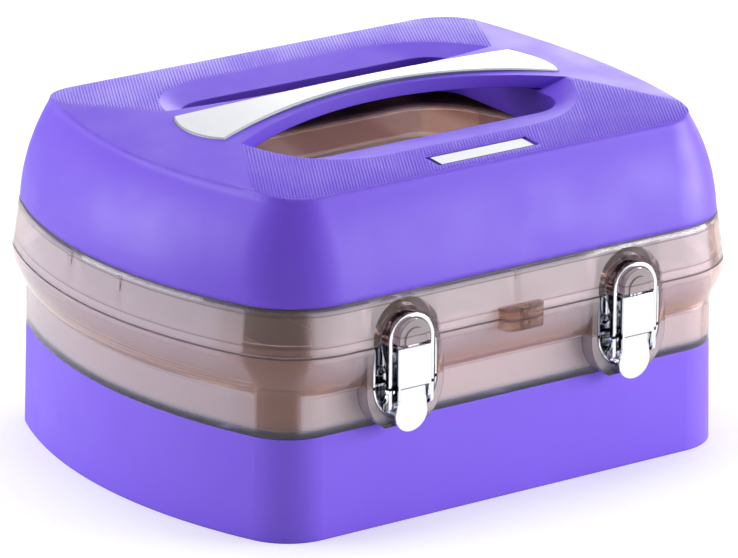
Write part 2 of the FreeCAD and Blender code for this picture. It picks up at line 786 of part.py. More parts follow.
def panel_height(depth):
    """Height of the sloping panels at this distance from the middle plane."""
    slope = S.panel_rise / (S.crest_half_depth - S.saddle_half_depth)
    return S.panel_edge_height + slope * (S.crest_half_depth - depth)


def crown_sketch(body, name, drop, top, radius=None, height=None):
    """The region above the barrel, lowered by a drop."""
    radius = (radius or S.crown_radius) - drop
    edge = (height or S.crown_height) - drop - arc_drop(radius, CLEAR_LENGTH)
    sketch = new_sketch(body, name, "XZ_Plane")
    closed_path(sketch, [
        (-CLEAR_LENGTH, edge), (CLEAR_LENGTH, edge), (CLEAR_LENGTH, top), (-CLEAR_LENGTH, top),
    ], {0: (radius, -1)})
    return sketch


def saddle_sketch(body, name, drop, top):
    """The region above the two panels and the saddle between them, lowered by a drop."""
    far = panel_height(CLEAR_DEPTH) - drop
    near = panel_height(S.saddle_half_depth) - drop
    peak = S.crown_height + S.plate_recess - drop
    corners = [
        (-CLEAR_DEPTH, far), (-S.saddle_half_depth, near), (-S.saddle_top_half_depth, peak),
        (S.saddle_top_half_depth, peak), (S.saddle_half_depth, near), (CLEAR_DEPTH, far),
        (CLEAR_DEPTH, top), (-CLEAR_DEPTH, top),
    ]
    sketch = new_sketch(body, name, "YZ_Plane")
    closed_path(sketch, corners)
    return sketch


def crowned_block(name, drop, levels):
    """Walls through the levels, closed by the crown and the panels."""
    body = new_body(name)
    outline_loft(body, f"{name}_walls", levels)
    top = CLEAR_HEIGHT
    outline_loft(body, f"{name}_top", [
        levels[-1],
        (top, tuple(size - S.cutter_margin for size in levels[-1][1])),
    ], ruled=True)
    crown = crown_sketch(body, f"{name}_crown_outline", drop, top + S.cutter_margin)
    pocket(body, crown, f"{name}_crown", CLEAR_DEPTH * 2, midplane=True)
    saddle = saddle_sketch(body, f"{name}_saddle_outline", drop, top + S.cutter_margin)
    pocket(body, saddle, f"{name}_saddle", CLEAR_LENGTH * 2, midplane=True)
    return body


def waisted_outline(sketch, half_width, flare_radius, half_length, end_radius=None, grow=ZERO):
    """A strip along X, narrow at the middle; its ends are straight, or bulge with the end radius."""
    edge = half_width + arc_drop(flare_radius, half_length) + grow
    reach = half_length + grow
    arcs = {0: (flare_radius, -1), 2: (flare_radius, -1)}
    if end_radius:
        arcs[1] = (end_radius, 1)
        arcs[3] = (end_radius, 1)
    closed_path(sketch, [(-reach, -edge), (reach, -edge), (reach, edge), (-reach, edge)], arcs)


def make_bar():
    body = new_body("bar")
    low = S.middle_height
    outline = new_sketch(body, "bar_outline", "XY_Plane", low)
    waisted_outline(outline, S.bar_half_width, S.bar_flare_radius, S.bar_half_length)
    pad(body, outline, "bar_blank", CLEAR_HEIGHT - low)
    pocket(body, crown_sketch(body, "bar_crown_outline", ZERO, CLEAR_HEIGHT + S.cutter_margin), "bar_crown",
           CLEAR_DEPTH * 2, midplane=True)
    under = crown_sketch(body, "bar_under_outline", S.bar_thickness, low - S.cutter_margin)
    pocket(body, under, "bar_under", CLEAR_DEPTH * 2, midplane=True)
    return body


def make_opening_tool():
    body = new_body("opening_tool")
    low = S.middle_height - S.cutter_margin
    opening = (S.opening_half_length, S.opening_half_depth, S.opening_corner)
    dish = (S.dish_half_length, S.dish_half_depth, S.dish_corner)
    hole = new_sketch(body, "opening_outline", "XY_Plane", low)
    rounded_rectangle(hole, *opening)
    pad(body, hole, "opening", S.opening_height - low)
    sections = []
    levels = (("dish_low", S.opening_height, opening), ("dish_high", S.dish_height, dish))
    for name, height, outline in levels:
        section = new_sketch(body, f"{name}_outline", "XY_Plane", height)
        rounded_rectangle(section, *outline)
        sections.append(section)
    loft(body, "dish", sections, ruled=True)
    above = new_sketch(body, "dish_clear_outline", "XY_Plane", S.dish_height)
    rounded_rectangle(above, *dish)
    pad(body, above, "dish_clear", CLEAR_HEIGHT - S.dish_height)
    return body


def plate_blank(name, grow):
    """The waisted outline of the bright plate, standing on the floor of its recess."""
    body = new_body(name)
    low = S.crest_height - S.cutter_margin
    outline = new_sketch(body, f"{name}_outline", "XY_Plane", low)
    waisted_outline(outline, S.plate_half_width, S.plate_flare_radius, S.plate_corner_length,
                    S.plate_end_radius, grow)
    pad(body, outline, f"{name}_blank", CLEAR_HEIGHT - low)
    under = crown_sketch(body, f"{name}_under_outline", S.plate_recess, low - S.cutter_margin)
    pocket(body, under, f"{name}_under", CLEAR_DEPTH * 2, midplane=True)
    return body


def edges_where(item, test):
    """Names of the edges of a feature whose ends and middle all pass the test."""
    names = []
    for number, edge in enumerate(item.Shape.Edges, start=1):
        points = [vertex.Point for vertex in edge.Vertexes]
        points.append(edge.valueAt((edge.FirstParameter + edge.LastParameter) / 2))
        if all(test(point) for point in points):
            names.append(f"Edge{number}")
    return names


def bevel(body, name, test, size):
    """Bevels the edges of the tip that pass the test."""
    doc.recompute()
    base = body.Tip
    feature = body.newObject("PartDesign::Chamfer", name)
    feature.Base = (base, edges_where(base, test))
    feature.Size = size.number
    feature.setExpression("Size", size.text)
    return feature


def make_handle_plate():
    body = plate_blank("handle_plate", ZERO)
    top = crown_sketch(body, "handle_plate_top_outline", ZERO, CLEAR_HEIGHT + S.cutter_margin,
                       S.plate_crown_radius, S.plate_crown_height)
    pocket(body, top, "handle_plate_top", CLEAR_DEPTH * 2, midplane=True)

    def on_top(point):
        fall = S.plate_crown_radius.number - math.sqrt(S.plate_crown_radius.number ** 2 - point.x ** 2)
        return abs(point.z - S.plate_crown_height.number + fall) < S.press_clearance.number

    bevel(body, "handle_plate_bevel", on_top, S.plate_bevel)
    return body


def badge_strip(name, half_length, half_width, low, high):
    """A strip along X that lies parallel to the front panel, between two depths under its surface."""
    body = new_body(name)
    near = S.badge_centre_depth - half_width
    far = S.badge_centre_depth + half_width
    sketch = new_sketch(body, f"{name}_outline", "YZ_Plane")
    closed_path(sketch, [
        (-far, panel_height(far) - low), (-near, panel_height(near) - low),
        (-near, panel_height(near) - high), (-far, panel_height(far) - high),
    ])
    pad(body, sketch, f"{name}_blank", half_length * 2, midplane=True)
    return body


BADGE_FLOOR = S.badge_thickness + S.badge_sink


def join(kind, name, base, tool):
    item = doc.addObject(f"Part::{kind}", name)
    item.Base = base
    item.Tool = tool
    return item


def make_lid_cover():
    outer = crowned_block("cover_outer", ZERO, [
        (S.cover_edge_height, seam_outline(S.cover_seat_inset)),
        (S.middle_height, middle_outline(ZERO)),
        (S.crest_height, crest_outline(ZERO)),
    ])
    inner = crowned_block("cover_inner", S.cover_wall, [
        (S.cover_edge_height, seam_outline(S.cover_seat_inset + S.cover_wall)),
        (S.middle_height, middle_outline(S.cover_wall)),
        (S.crest_height, crest_outline(S.cover_wall)),
    ])
    backing = new_sketch(inner, "backing_outline", "XY_Plane", CLEAR_HEIGHT)
    rounded_rectangle(backing, S.backing_half_length, S.backing_half_depth, S.backing_corner)
    pocket(inner, backing, "backing", CLEAR_HEIGHT - S.opening_height + S.dish_backing)
    collar = new_sketch(inner, "collar_outline", "XY_Plane", CLEAR_HEIGHT)
    rounded_rectangle(collar, S.opening_half_length + S.collar_wall, S.opening_half_depth + S.collar_wall,
                      S.opening_corner + S.collar_wall)
    pocket(inner, collar, "collar", CLEAR_HEIGHT - S.middle_height - S.roof_gap)
    hollow = join("Cut", "cover_hollow", outer, inner)
    opened = join("Cut", "cover_opened", hollow, make_opening_tool())
    barred = join("Fuse", "cover_barred", opened, make_bar())
    seated = join("Cut", "cover_plate_seat", barred, plate_blank("plate_seat", S.plate_gap))
    badge_tool = badge_strip("badge_seat", S.badge_length / 2 + S.badge_end_margin,
                             S.badge_width / 2 + S.badge_side_margin, BADGE_FLOOR, -S.cutter_margin)
    finished = join("Cut", "cover_badge_seat", seated, badge_tool)
    body = new_body("lid_cover")
    body.BaseFeature = finished
    post_top = S.crown_height - arc_drop(S.crown_radius, S.cover_screw_length_offset) - S.cover_wall / 2
    posts = corner_circles(body, "post_outlines", S.middle_height, COVER_SCREWS, S.post_radius * 2)
    pad(body, posts, "posts", post_top - S.middle_height)
    pilots = corner_circles(body, "post_pilot_outlines", S.middle_height, COVER_SCREWS, PILOT_HOLE)
    pocket(body, pilots, "post_pilots", S.cover_screw_length, reverse=True)
    return body


# Latches: each is drawn at the middle and moved to its place

def make_latch_base(side, sign):
    body = new_body(f"latch_base_{side}")
    plate = new_sketch(body, f"bracket_{side}_outline", "XZ_Plane", FRONT)
    recess_profile(plate, ZERO, S.bracket_radius, S.latch_foot_height, S.bracket_top_height)
    pad(body, plate, f"bracket_{side}", S.bracket_depth)
    inside = new_sketch(body, f"bracket_{side}_inside_outline", "XZ_Plane", FRONT + S.bracket_depth)
    recess_profile(inside, ZERO, S.bracket_radius - S.bracket_flange, S.latch_foot_height,
                   S.bracket_top_height + S.cutter_margin)
    pocket(body, inside, f"bracket_{side}_inside", S.bracket_depth - S.bracket_thickness)
    for end in (-1, 1):
        name = f"ear_{side}_{'low' if end < 0 else 'high'}"
        ear = new_sketch(body, f"{name}_outline", "YZ_Plane", S.ear_spacing / 2 * end)
        root = FRONT + S.bracket_thickness / 2
        closed_path(ear, [
            (-root, S.lever_pin_height - S.ear_length), (-root, S.lever_pin_height - S.ear_drop),
            (-LEVER_PIN, S.lever_pin_height + S.ear_radius), (-LEVER_PIN, S.lever_pin_height - S.ear_radius),
        ], {2: (None, 1)})
        pad(body, ear, name, S.bracket_thickness, midplane=True)
    bore = new_sketch(body, f"ear_bore_{side}_outline", "YZ_Plane")
    circle(bore, -LEVER_PIN, S.lever_pin_height, PRESSED_HOLE)
    pocket(body, bore, f"ear_bore_{side}", S.lever_width, midplane=True)
    holes = new_sketch(body, f"bracket_holes_{side}_outline", "XZ_Plane", BRACKET_FACE)
    for end in (-1, 1):
        circle(holes, S.rivet_spacing / 2 * end, S.rivet_height, RIVET_HOLE)
    pocket(body, holes, f"bracket_holes_{side}", S.bracket_thickness)
    place(body, x=S.latch_offset * sign)
    return body


def make_tab(side):
    """The finger tab: a leaning sheet, cut to a neck that widens into a round end."""
    body = new_body(f"tab_{side}")
    inside = LEVER_FACE - S.lever_sheet
    neck = inside - S.tab_sink
    bend = S.notch_height - S.tab_bend
    sheet_profile = new_sketch(body, f"tab_{side}_outline", "YZ_Plane")
    closed_path(sheet_profile, [
        (-inside, S.notch_height + S.tab_overlap), (-inside, S.notch_height + S.tab_bend), (-neck, bend),
        (-(neck - S.tab_lean), S.tab_end_height), (-(neck - S.tab_lean - S.tab_sheet), S.tab_end_height),
        (-(neck - S.tab_sheet), bend), (-(inside - S.tab_sheet), S.notch_height + S.tab_bend),
        (-(inside - S.tab_sheet), S.notch_height + S.tab_overlap),
    ])
    pad(body, sheet_profile, f"tab_{side}_sheet", S.tab_radius * 2, midplane=True)
    centre = S.tab_end_height + S.tab_radius
    top = S.notch_height + S.tab_overlap + S.cutter_margin
    low = S.tab_end_height - S.cutter_margin
    for end in (-1, 1):
        name = f"tab_{side}_{'low' if end < 0 else 'high'}_edge"
        edge = new_sketch(body, f"{name}_outline", "XZ_Plane", LEVER_FACE + S.cutter_margin)
        far = S.tab_radius + S.cutter_margin
        closed_path(edge, [
            (ZERO, low), (far * end, low), (far * end, top), (S.tab_neck * end, top),
            (S.tab_neck * end, bend), (S.tab_radius * end, centre), (ZERO, S.tab_end_height),
        ], {5: (S.tab_radius, -end)})
        pocket(body, edge, name, S.cutter_margin + S.lever_reach)
    return body


def make_lever(side, sign):
    body = new_body(f"lever_{side}_channel")
    back = LEVER_FACE - S.lever_side_depth
    inside = LEVER_FACE - S.lever_sheet
    cheeks = new_sketch(body, f"lever_{side}_outline", "YZ_Plane")
    closed_path(cheeks, [
        (-LEVER_FACE, S.lever_top_height), (-LEVER_FACE, S.lever_leg_height),
        (-(BAIL_PIN + S.lever_end_radius), S.bail_pin_height),
        (-(BAIL_PIN - S.lever_end_radius), S.bail_pin_height),
        (-back, S.lever_waist_height), (-back, S.lever_top_height),
    ], {2: (None, 1)})
    pad(body, cheeks, f"lever_{side}_blank", S.lever_width, midplane=True)
    hollow = new_sketch(body, f"lever_{side}_hollow_outline", "YZ_Plane")
    rectangle(hollow, -inside, -FRONT, S.tab_end_height, S.lever_top_height + S.cutter_margin)
    pocket(body, hollow, f"lever_{side}_hollow", S.lever_width - S.lever_sheet * 2, midplane=True)
    notch = new_sketch(body, f"lever_{side}_notch_outline", "XZ_Plane", LEVER_FACE + S.cutter_margin)
    rectangle(notch, -S.notch_half_width, S.notch_half_width, S.tab_end_height, S.notch_height)
    pocket(body, notch, f"lever_{side}_notch", S.cutter_margin + S.lever_reach)
    bores = new_sketch(body, f"lever_{side}_bore_outline", "YZ_Plane")
    circle(bores, -LEVER_PIN, S.lever_pin_height, RUNNING_HOLE)
    circle(bores, -BAIL_PIN, S.bail_pin_height, PRESSED_HOLE)
    pocket(body, bores, f"lever_{side}_bores", S.lever_width + S.cutter_margin, midplane=True)
    lever = join("Fuse", f"lever_{side}", body, make_tab(side))
    place(lever, x=S.latch_offset * sign)
    return lever


def make_bail(side, sign):
    top = S.bail_centre_height + BAIL_OUTSIDE + S.cutter_margin
    low = S.bail_pin_height - S.bail_end_radius - S.cutter_margin
    loop = new_body(f"bail_{side}_loop")
    front = new_sketch(loop, f"bail_{side}_loop_outline", "XZ_Plane", FRONT)
    closed_path(front, [
        (-BAIL_OUTSIDE, low), (-BAIL_INSIDE, low),
        (-BAIL_INSIDE, S.bail_centre_height), (BAIL_INSIDE, S.bail_centre_height),
        (BAIL_INSIDE, low), (BAIL_OUTSIDE, low),
        (BAIL_OUTSIDE, S.bail_centre_height), (-BAIL_OUTSIDE, S.bail_centre_height),
    ], {2: (None, -1), 6: (None, 1)})
    pad(loop, front, f"bail_{side}_loop_blank", S.strike_length + S.cutter_margin)
    shoulder = BAIL_FACE - S.bail_depth
    leg = BAIL_FACE - S.bail_leg_depth
    legs = new_body(f"bail_{side}_side")
    profile = new_sketch(legs, f"bail_{side}_side_outline", "YZ_Plane")
    closed_path(profile, [
        (-BAIL_FACE, top), (-BAIL_FACE, S.bail_pin_height),
        (-(BAIL_PIN - S.bail_end_radius), S.bail_pin_height), (-leg, S.bail_hip_height),
        (-leg, S.bail_waist_height), (-shoulder, S.bail_shoulder_height), (-shoulder, top),
    ], {1: (None, 1)})
    reach = BAIL_OUTSIDE + S.cutter_margin
    pad(legs, profile, f"bail_{side}_side_blank", reach * 2, midplane=True)
    bore = new_sketch(legs, f"bail_{side}_bore_outline", "YZ_Plane")
    circle(bore, -BAIL_PIN, S.bail_pin_height, RUNNING_HOLE)
    pocket(legs, bore, f"bail_{side}_bore", reach * 3, midplane=True)
    bail = doc.addObject("Part::MultiCommon", f"bail_{side}")
    bail.Shapes = [loop, legs]
    place(bail, x=S.latch_offset * sign)
    return bail


# Pins, rivets and screws

TURNS = {"x": Rotation(Vector(0, 1, 0), 90), "up": Rotation(), "down": Rotation(Vector(1, 0, 0), 180),
         "front": Rotation(Vector(1, 0, 0), 90), "rear": Rotation(Vector(1, 0, 0), -90)}
FACING = {"up": "down", "rear": "front"}


def turned(kind, name, sizes, turn, spot):
    """A cylinder or cone that starts at the spot and points along the turn."""
    item = doc.addObject(f"Part::{kind}", name)
    for length, size in sizes.items():
        setattr(item, length, size.number)
        item.setExpression(length, size.text)
    item.Placement = Placement(Vector(*(size.number for size in spot)), TURNS[turn])
    for axis, size in zip("xyz", spot):
        item.setExpression(f"Placement.Base.{axis}", size.text)
    return item


def rod(name, diameter, length, turn, spot):
    return turned("Cylinder", name, {"Radius": diameter / 2, "Height": length}, turn, spot)


def headed(name, shank, head, turn, spot):
    """A shank with a tapered head; the spot is under the head."""
    diameter, length = shank
    head_diameter, head_height = head
    stem = rod(f"{name}_shank", diameter, length, turn, spot)
    cap = turned("Cone", f"{name}_head", {
        "Radius1": head_diameter / 2, "Radius2": (head_diameter + diameter) / 4, "Height": head_height,
    }, FACING[turn], spot)
    return join("Fuse", name, stem, cap)


def group(name, items):
    compound = doc.addObject("Part::Compound", name)
    compound.Links = items
    return compound


def make_screws(name, offsets, height, length):
    spots = [(offsets[0] * side, offsets[1] * end, height) for side, end in CORNERS]
    return group(name, [
        headed(f"{name}_{number}", (S.screw_diameter, length), (S.screw_head_diameter, S.screw_head_height),
               "up", spot)
        for number, spot in enumerate(spots, start=1)
    ])


def make_rivets():
    spots = [
        (S.latch_offset * sign + S.rivet_spacing / 2 * end, -BRACKET_FACE, S.rivet_height)
        for sign in SIDES.values() for end in (-1, 1)
    ]
    return group("bracket_rivets", [
        headed(f"rivet_{number}", (S.rivet_diameter, S.rivet_length),
               (S.rivet_head_diameter, S.rivet_head_height), "rear", spot)
        for number, spot in enumerate(spots, start=1)
    ])


def latch_pin(name, sign, length, depth, height):
    start = S.latch_offset * sign - length / 2
    return rod(name, S.pin_diameter, length, "x", (start, -depth, height))


def make_hinge_pins():
    length = S.knuckle_length * 3 + S.knuckle_gap * 2 + S.hinge_pin_end * 2
    return group("hinge_pins", [
        rod(f"hinge_pin_{side}", S.hinge_pin_diameter, length, "x",
            (S.hinge_offset * sign - length / 2, HINGE_DEPTH, HINGE_HEIGHT))
        for side, sign in SIDES.items()
    ])


# Tray: cells sunk from above, hollow between them from below

CELL_ROW = (S.cell_depth + S.spine_width) / 2


def cut_cells(body, name, top, depth, grow):
    """Sinks one cell at the end of each row and repeats it along the tray."""
    sketch = new_sketch(body, f"{name}_outline", "XY_Plane", top)
    across = S.cell_pitch * (1 - COLUMNS) / 2
    for row in (-1, 1):
        rounded_rectangle(sketch, S.cell_width / 2 + grow, S.cell_depth / 2 + grow, S.cell_corner + grow,
                          across, CELL_ROW * row)
    first = pocket(body, sketch, name, depth)
    body.Tip = first
    pattern = body.newObject("PartDesign::LinearPattern", f"{name}_pattern")
    pattern.Originals = [first]
    pattern.Direction = (sketch, ["H_Axis"])
    pattern.Length = S.cell_pitch.number * (COLUMNS - 1)
    pattern.setExpression("Length", (S.cell_pitch * (COLUMNS - 1)).text)
    pattern.Occurrences = COLUMNS
    body.Tip = pattern
    return pattern


TRAY_INSET = S.sleeve_draft + S.bowl_wall + S.tray_gap


def make_tray():
    body = new_body("tray_blank")
    outline_loft(body, "tray_low", [
        (S.tray_floor_height, base_outline(TRAY_INSET + S.tray_draft)),
        (S.ledge_height, base_outline(TRAY_INSET)),
    ], ruled=True)
    upper = new_sketch(body, "tray_high_outline", "XY_Plane", S.ledge_height)
    bowed_outline(upper, base_outline(TRAY_INSET))
    pad(body, upper, "tray_high", S.tray_rim_height - S.ledge_height)
    flange = new_sketch(body, "tray_flange_outline", "XY_Plane", S.ledge_height)
    bowed_outline(flange, (S.seam_half_length - S.flange_inset, S.base_half_depth - TRAY_INSET,
                           S.seam_side_radius - S.flange_inset, S.seam_corner - S.tray_flange))
    pad(body, flange, "tray_flange", S.tray_flange)
    cut_cells(body, "cells", S.tray_rim_height, S.tray_rim_height - S.tray_floor_height - S.tray_wall, ZERO)
    hollow = new_body("tray_hollow")
    inset = TRAY_INSET + S.tray_wall
    outline_loft(hollow, "hollow_low", [
        (S.tray_floor_height, base_outline(inset + S.tray_draft)),
        (S.ledge_height, base_outline(inset)),
    ], ruled=True)
    hollow_upper = new_sketch(hollow, "hollow_high_outline", "XY_Plane", S.ledge_height)
    bowed_outline(hollow_upper, base_outline(inset))
    pad(hollow, hollow_upper, "hollow_high", S.tray_rim_height - S.tray_wall - S.ledge_height)
    cut_cells(hollow, "cell_walls", S.tray_rim_height, S.tray_rim_height - S.tray_floor_height, S.tray_wall)
    return join("Cut", "tray", body, hollow)


def make_all():
    lever_length = S.lever_width
    bail_length = (BAIL_OUTSIDE + S.bail_pin_end) * 2
    pieces = {
        "base_sleeve": make_base_sleeve(),
        "lower_bowl": make_lower_bowl(),
        "lid_shell": make_lid_shell(),
        "lid_cover": make_lid_cover(),
        "handle_plate": make_handle_plate(),
        "badge_plate": badge_strip("badge_plate", S.badge_length / 2, S.badge_width / 2,
                                   BADGE_FLOOR, S.badge_sink),
        "tray": make_tray(),
        "bracket_rivets": make_rivets(),
        "hinge_pins": make_hinge_pins(),
        "base_screws": make_screws("base_screws", BASE_SCREWS, S.screw_recess, S.screw_length),
        "cover_screws": make_screws("cover_screws", COVER_SCREWS, S.middle_height - S.roof_thickness,
                                    S.cover_screw_length),
        "lever_pins": group("lever_pins", [
            latch_pin(f"lever_pin_{side}", sign, lever_length, LEVER_PIN, S.lever_pin_height)
            for side, sign in SIDES.items()
        ]),
    }
    for side, sign in SIDES.items():
        pieces[f"latch_base_{side}"] = make_latch_base(side, sign)
        pieces[f"lever_{side}"] = make_lever(side, sign)
        pieces[f"bail_{side}"] = make_bail(side, sign)
        pieces[f"bail_pin_{side}"] = latch_pin(f"bail_pin_{side}", sign, bail_length,
                                               BAIL_PIN, S.bail_pin_height)
    return pieces


def check_features():
    """Stops when a feature failed or a cut removed nothing."""
    for item in doc.Objects:
        if any(state in ("Invalid", "Error") for state in item.State):
            raise RuntimeError(f"{item.Name} did not build")
        if item.TypeId in ("PartDesign::Pocket", "PartDesign::SubtractiveLoft"):
            if item.BaseFeature.Shape.Volume - item.Shape.Volume < S.press_clearance.number:
                raise RuntimeError(f"{item.Name} cuts nothing")


def export(pieces):
    os.makedirs("parts", exist_ok=True)
    for name, item in pieces.items():
        shape = item.Shape
        if shape.isNull() or not shape.isValid():
            raise RuntimeError(f"{name} has no valid shape")
        shape.exportStep(os.path.join("parts", f"{name}.step"))


PIECES = make_all()
doc.recompute()
check_features()
export(PIECES)
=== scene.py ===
# %% [markdown]
# # A nail polish case with a smoky bowl, a satin tub and cover, and two draw latches
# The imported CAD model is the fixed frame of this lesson. It already holds every solid in its
# right place, so the work here is on finishes, light and the details that are too fine for CAD.
# Everything is in metres, with +Z up and the front of the case towards -Y.

import functools
import math

import bpy
import numpy as np
from mathutils import Matrix, Vector


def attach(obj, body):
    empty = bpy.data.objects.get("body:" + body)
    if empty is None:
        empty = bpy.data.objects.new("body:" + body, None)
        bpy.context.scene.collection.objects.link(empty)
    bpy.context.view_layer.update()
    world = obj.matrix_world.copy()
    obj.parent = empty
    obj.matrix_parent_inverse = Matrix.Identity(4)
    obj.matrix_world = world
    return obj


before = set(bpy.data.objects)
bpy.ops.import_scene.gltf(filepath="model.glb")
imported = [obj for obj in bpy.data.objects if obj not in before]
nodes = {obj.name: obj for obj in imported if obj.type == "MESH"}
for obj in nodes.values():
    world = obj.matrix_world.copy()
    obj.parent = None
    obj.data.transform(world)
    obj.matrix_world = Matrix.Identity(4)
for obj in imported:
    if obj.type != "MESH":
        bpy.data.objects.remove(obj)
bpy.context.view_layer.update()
MM = 0.001

# %% [markdown]
# A product photographer often stands far back with a long lens, so that the edges of a box stay
# nearly parallel. The camera below does the same: its turn, height and slight roll were fitted to
# the outlines of the case. A camera's own axes are right, up and back, so they are written as the
# columns of its matrix, which is safer than three chained rotations.

# %% Camera
AZIMUTH, ELEVATION, ROLL = math.radians(-35.72), math.radians(18.69), math.radians(0.49)
DISTANCE = 3059 * MM
SHIFT_RIGHT, SHIFT_UP = 1.45 * MM, 66.7 * MM
FOCAL_PIXELS, IMAGE_WIDTH = 6730, 738


def camera_axes(azimuth, elevation, roll):
    """The camera's right, up and back directions."""
    back = Vector((math.sin(azimuth) * math.cos(elevation),
                   -math.cos(azimuth) * math.cos(elevation),
                   math.sin(elevation)))
    right = Vector((math.cos(azimuth), math.sin(azimuth), 0))
    up = back.cross(right)
    turned_right = right * math.cos(roll) + up * math.sin(roll)
    turned_up = up * math.cos(roll) - right * math.sin(roll)
    return turned_right, turned_up, back


right, up, back = camera_axes(AZIMUTH, ELEVATION, ROLL)
camera_data = bpy.data.cameras.new("photo_camera")
camera_data.sensor_width = 36
camera_data.lens = FOCAL_PIXELS * camera_data.sensor_width / IMAGE_WIDTH
camera_data.clip_start = 0.1
camera_data.clip_end = 60
camera = bpy.data.objects.new("photo_camera", camera_data)
turned = Matrix((right, up, back)).transposed().to_4x4()
camera.matrix_world = Matrix.Translation(right * SHIFT_RIGHT + up * SHIFT_UP + back * DISTANCE) @ turned
bpy.context.scene.collection.objects.link(camera)
bpy.context.scene.camera = camera
bpy.context.scene.view_settings.view_transform = "Standard"
print("lens:", round(camera_data.lens, 1), "mm")

# %% [markdown]
# Every finish below is a small tree of nodes. Placing nodes by hand takes many lines, so one helper
# adds a node with its settings and another joins sockets. Inputs may be a number, a colour or the
# socket of another node.

# %% Node helpers


class Tree:
    """Adds nodes to a material, world or geometry tree in one call each."""

    def __init__(self, owner):
        if isinstance(owner, bpy.types.NodeTree):
            self.tree = owner
        else:
            owner.use_nodes = True
            self.tree = owner.node_tree
        self.tree.nodes.clear()

    def add(self, kind, inputs=None, **settings):
        node = self.tree.nodes.new(kind)
        for name, value in settings.items():
            setattr(node, name, value)
        for name, value in (inputs or {}).items():
            self.feed(node.inputs[name], value)
        return node

    def feed(self, socket, value):
        if isinstance(value, bpy.types.NodeSocket):
            self.tree.links.new(value, socket)
        elif hasattr(value, "__len__") and len(value) == 3 and len(socket.default_value) == 4:
            socket.default_value = (*value, 1)
        else:
            socket.default_value = value

    def math(self, operation, *values):
        node = self.add("ShaderNodeMath", operation=operation)
        for socket, value in zip(node.inputs, values):
            self.feed(socket, value)
        return node.outputs[0]

    def ramp(self, value, low, high, out_low=0.0, out_high=1.0):
        """Maps a value from one range to another, smoothly and without leaving it."""
        node = self.add("ShaderNodeMapRange", {
            "Value": value, "From Min": low, "From Max": high, "To Min": out_low, "To Max": out_high,
        }, interpolation_type="SMOOTHSTEP")
        return node.outputs["Result"]

    def mix(self, factor, first, second):
        """Mixes two colours."""
        node = self.add("ShaderNodeMix", data_type="RGBA")
        self.feed(node.inputs["Factor"], factor)
        self.feed(node.inputs[6], first)
        self.feed(node.inputs[7], second)
        return node.outputs[2]

    def noise(self, where, scale, detail):
        node = self.add("ShaderNodeTexNoise", {"Vector": where, "Scale": scale, "Detail": detail})
        return node.outputs["Fac"]

    def stretched_noise(self, where, scale, detail):
        """Noise with its own scale along each axis, for streaks and bands."""
        mapping = self.add("ShaderNodeMapping", {"Vector": where, "Scale": scale})
        return self.noise(mapping.outputs["Vector"], 1, detail)

    def place(self):
        """The point on the piece, in metres, in the frame of the case."""
        return self.add("ShaderNodeTexCoord").outputs["Object"]

    def bump(self, height, distance, strength, normal):
        return self.add("ShaderNodeBump", {
            "Height": height, "Distance": distance, "Strength": strength, "Normal": normal,
        }).outputs["Normal"]

    def soft_edges(self, radius):
        """A normal that rounds the sharp edges of the mesh."""
        return self.add("ShaderNodeBevel", {"Radius": radius}, samples=6).outputs["Normal"]

    def crevice(self, distance):
        """How far a spot is hidden in a gap or groove, from 0 in the open to 1 deep inside."""
        open_share = self.add("ShaderNodeAmbientOcclusion", {"Distance": distance}, samples=8)
        return self.ramp(open_share.outputs["AO"], 0.35, 0.85, 1.0, 0.0)

    def edge_share(self, rounded, flat=0.98, full=0.8):
        """1 on the sharp edges that a rounded normal has turned away from, 0 on plain faces."""
        sharp = self.add("ShaderNodeNewGeometry").outputs["Normal"]
        turn = self.add("ShaderNodeVectorMath", {0: rounded, 1: sharp}, operation="DOT_PRODUCT")
        return self.ramp(turn.outputs["Value"], flat, full)

    def inside(self, value, middle, half_width, blur):
        """1 near a middle value, 0 farther away than the half width."""
        offset = self.math("ABSOLUTE", self.math("SUBTRACT", value, middle))
        return self.ramp(offset, half_width, half_width + blur, 1.0, 0.0)

    def product(self, *values):
        """All masks at once: 1 only where every mask is 1."""
        return functools.reduce(lambda total, value: self.math("MULTIPLY", total, value), values)

    def largest(self, *values):
        """Any of the masks: 1 where one of them is 1."""
        return functools.reduce(lambda total, value: self.math("MAXIMUM", total, value), values)

    def axes(self, vector):
        """The x, y and z of a vector."""
        return self.add("ShaderNodeSeparateXYZ", {"Vector": vector}).outputs[:3]

    def length(self, vector):
        return self.add("ShaderNodeVectorMath", {0: vector}, operation="LENGTH").outputs["Value"]


def finish(name, build):
    """Makes a material and hands its tree and main shader to a function that completes it."""
    material = bpy.data.materials.new(name)
    tree = Tree(material)
    shader = tree.add("ShaderNodeBsdfPrincipled")
    surface = build(tree, shader) or shader.outputs["BSDF"]
    tree.add("ShaderNodeOutputMaterial", {"Surface": surface})
    print("finish:", name)
    return material


def dress(material, *names):
    """Gives CAD nodes a finish."""
    for name in names:
        nodes[name].data.materials.clear()
        nodes[name].data.materials.append(material)
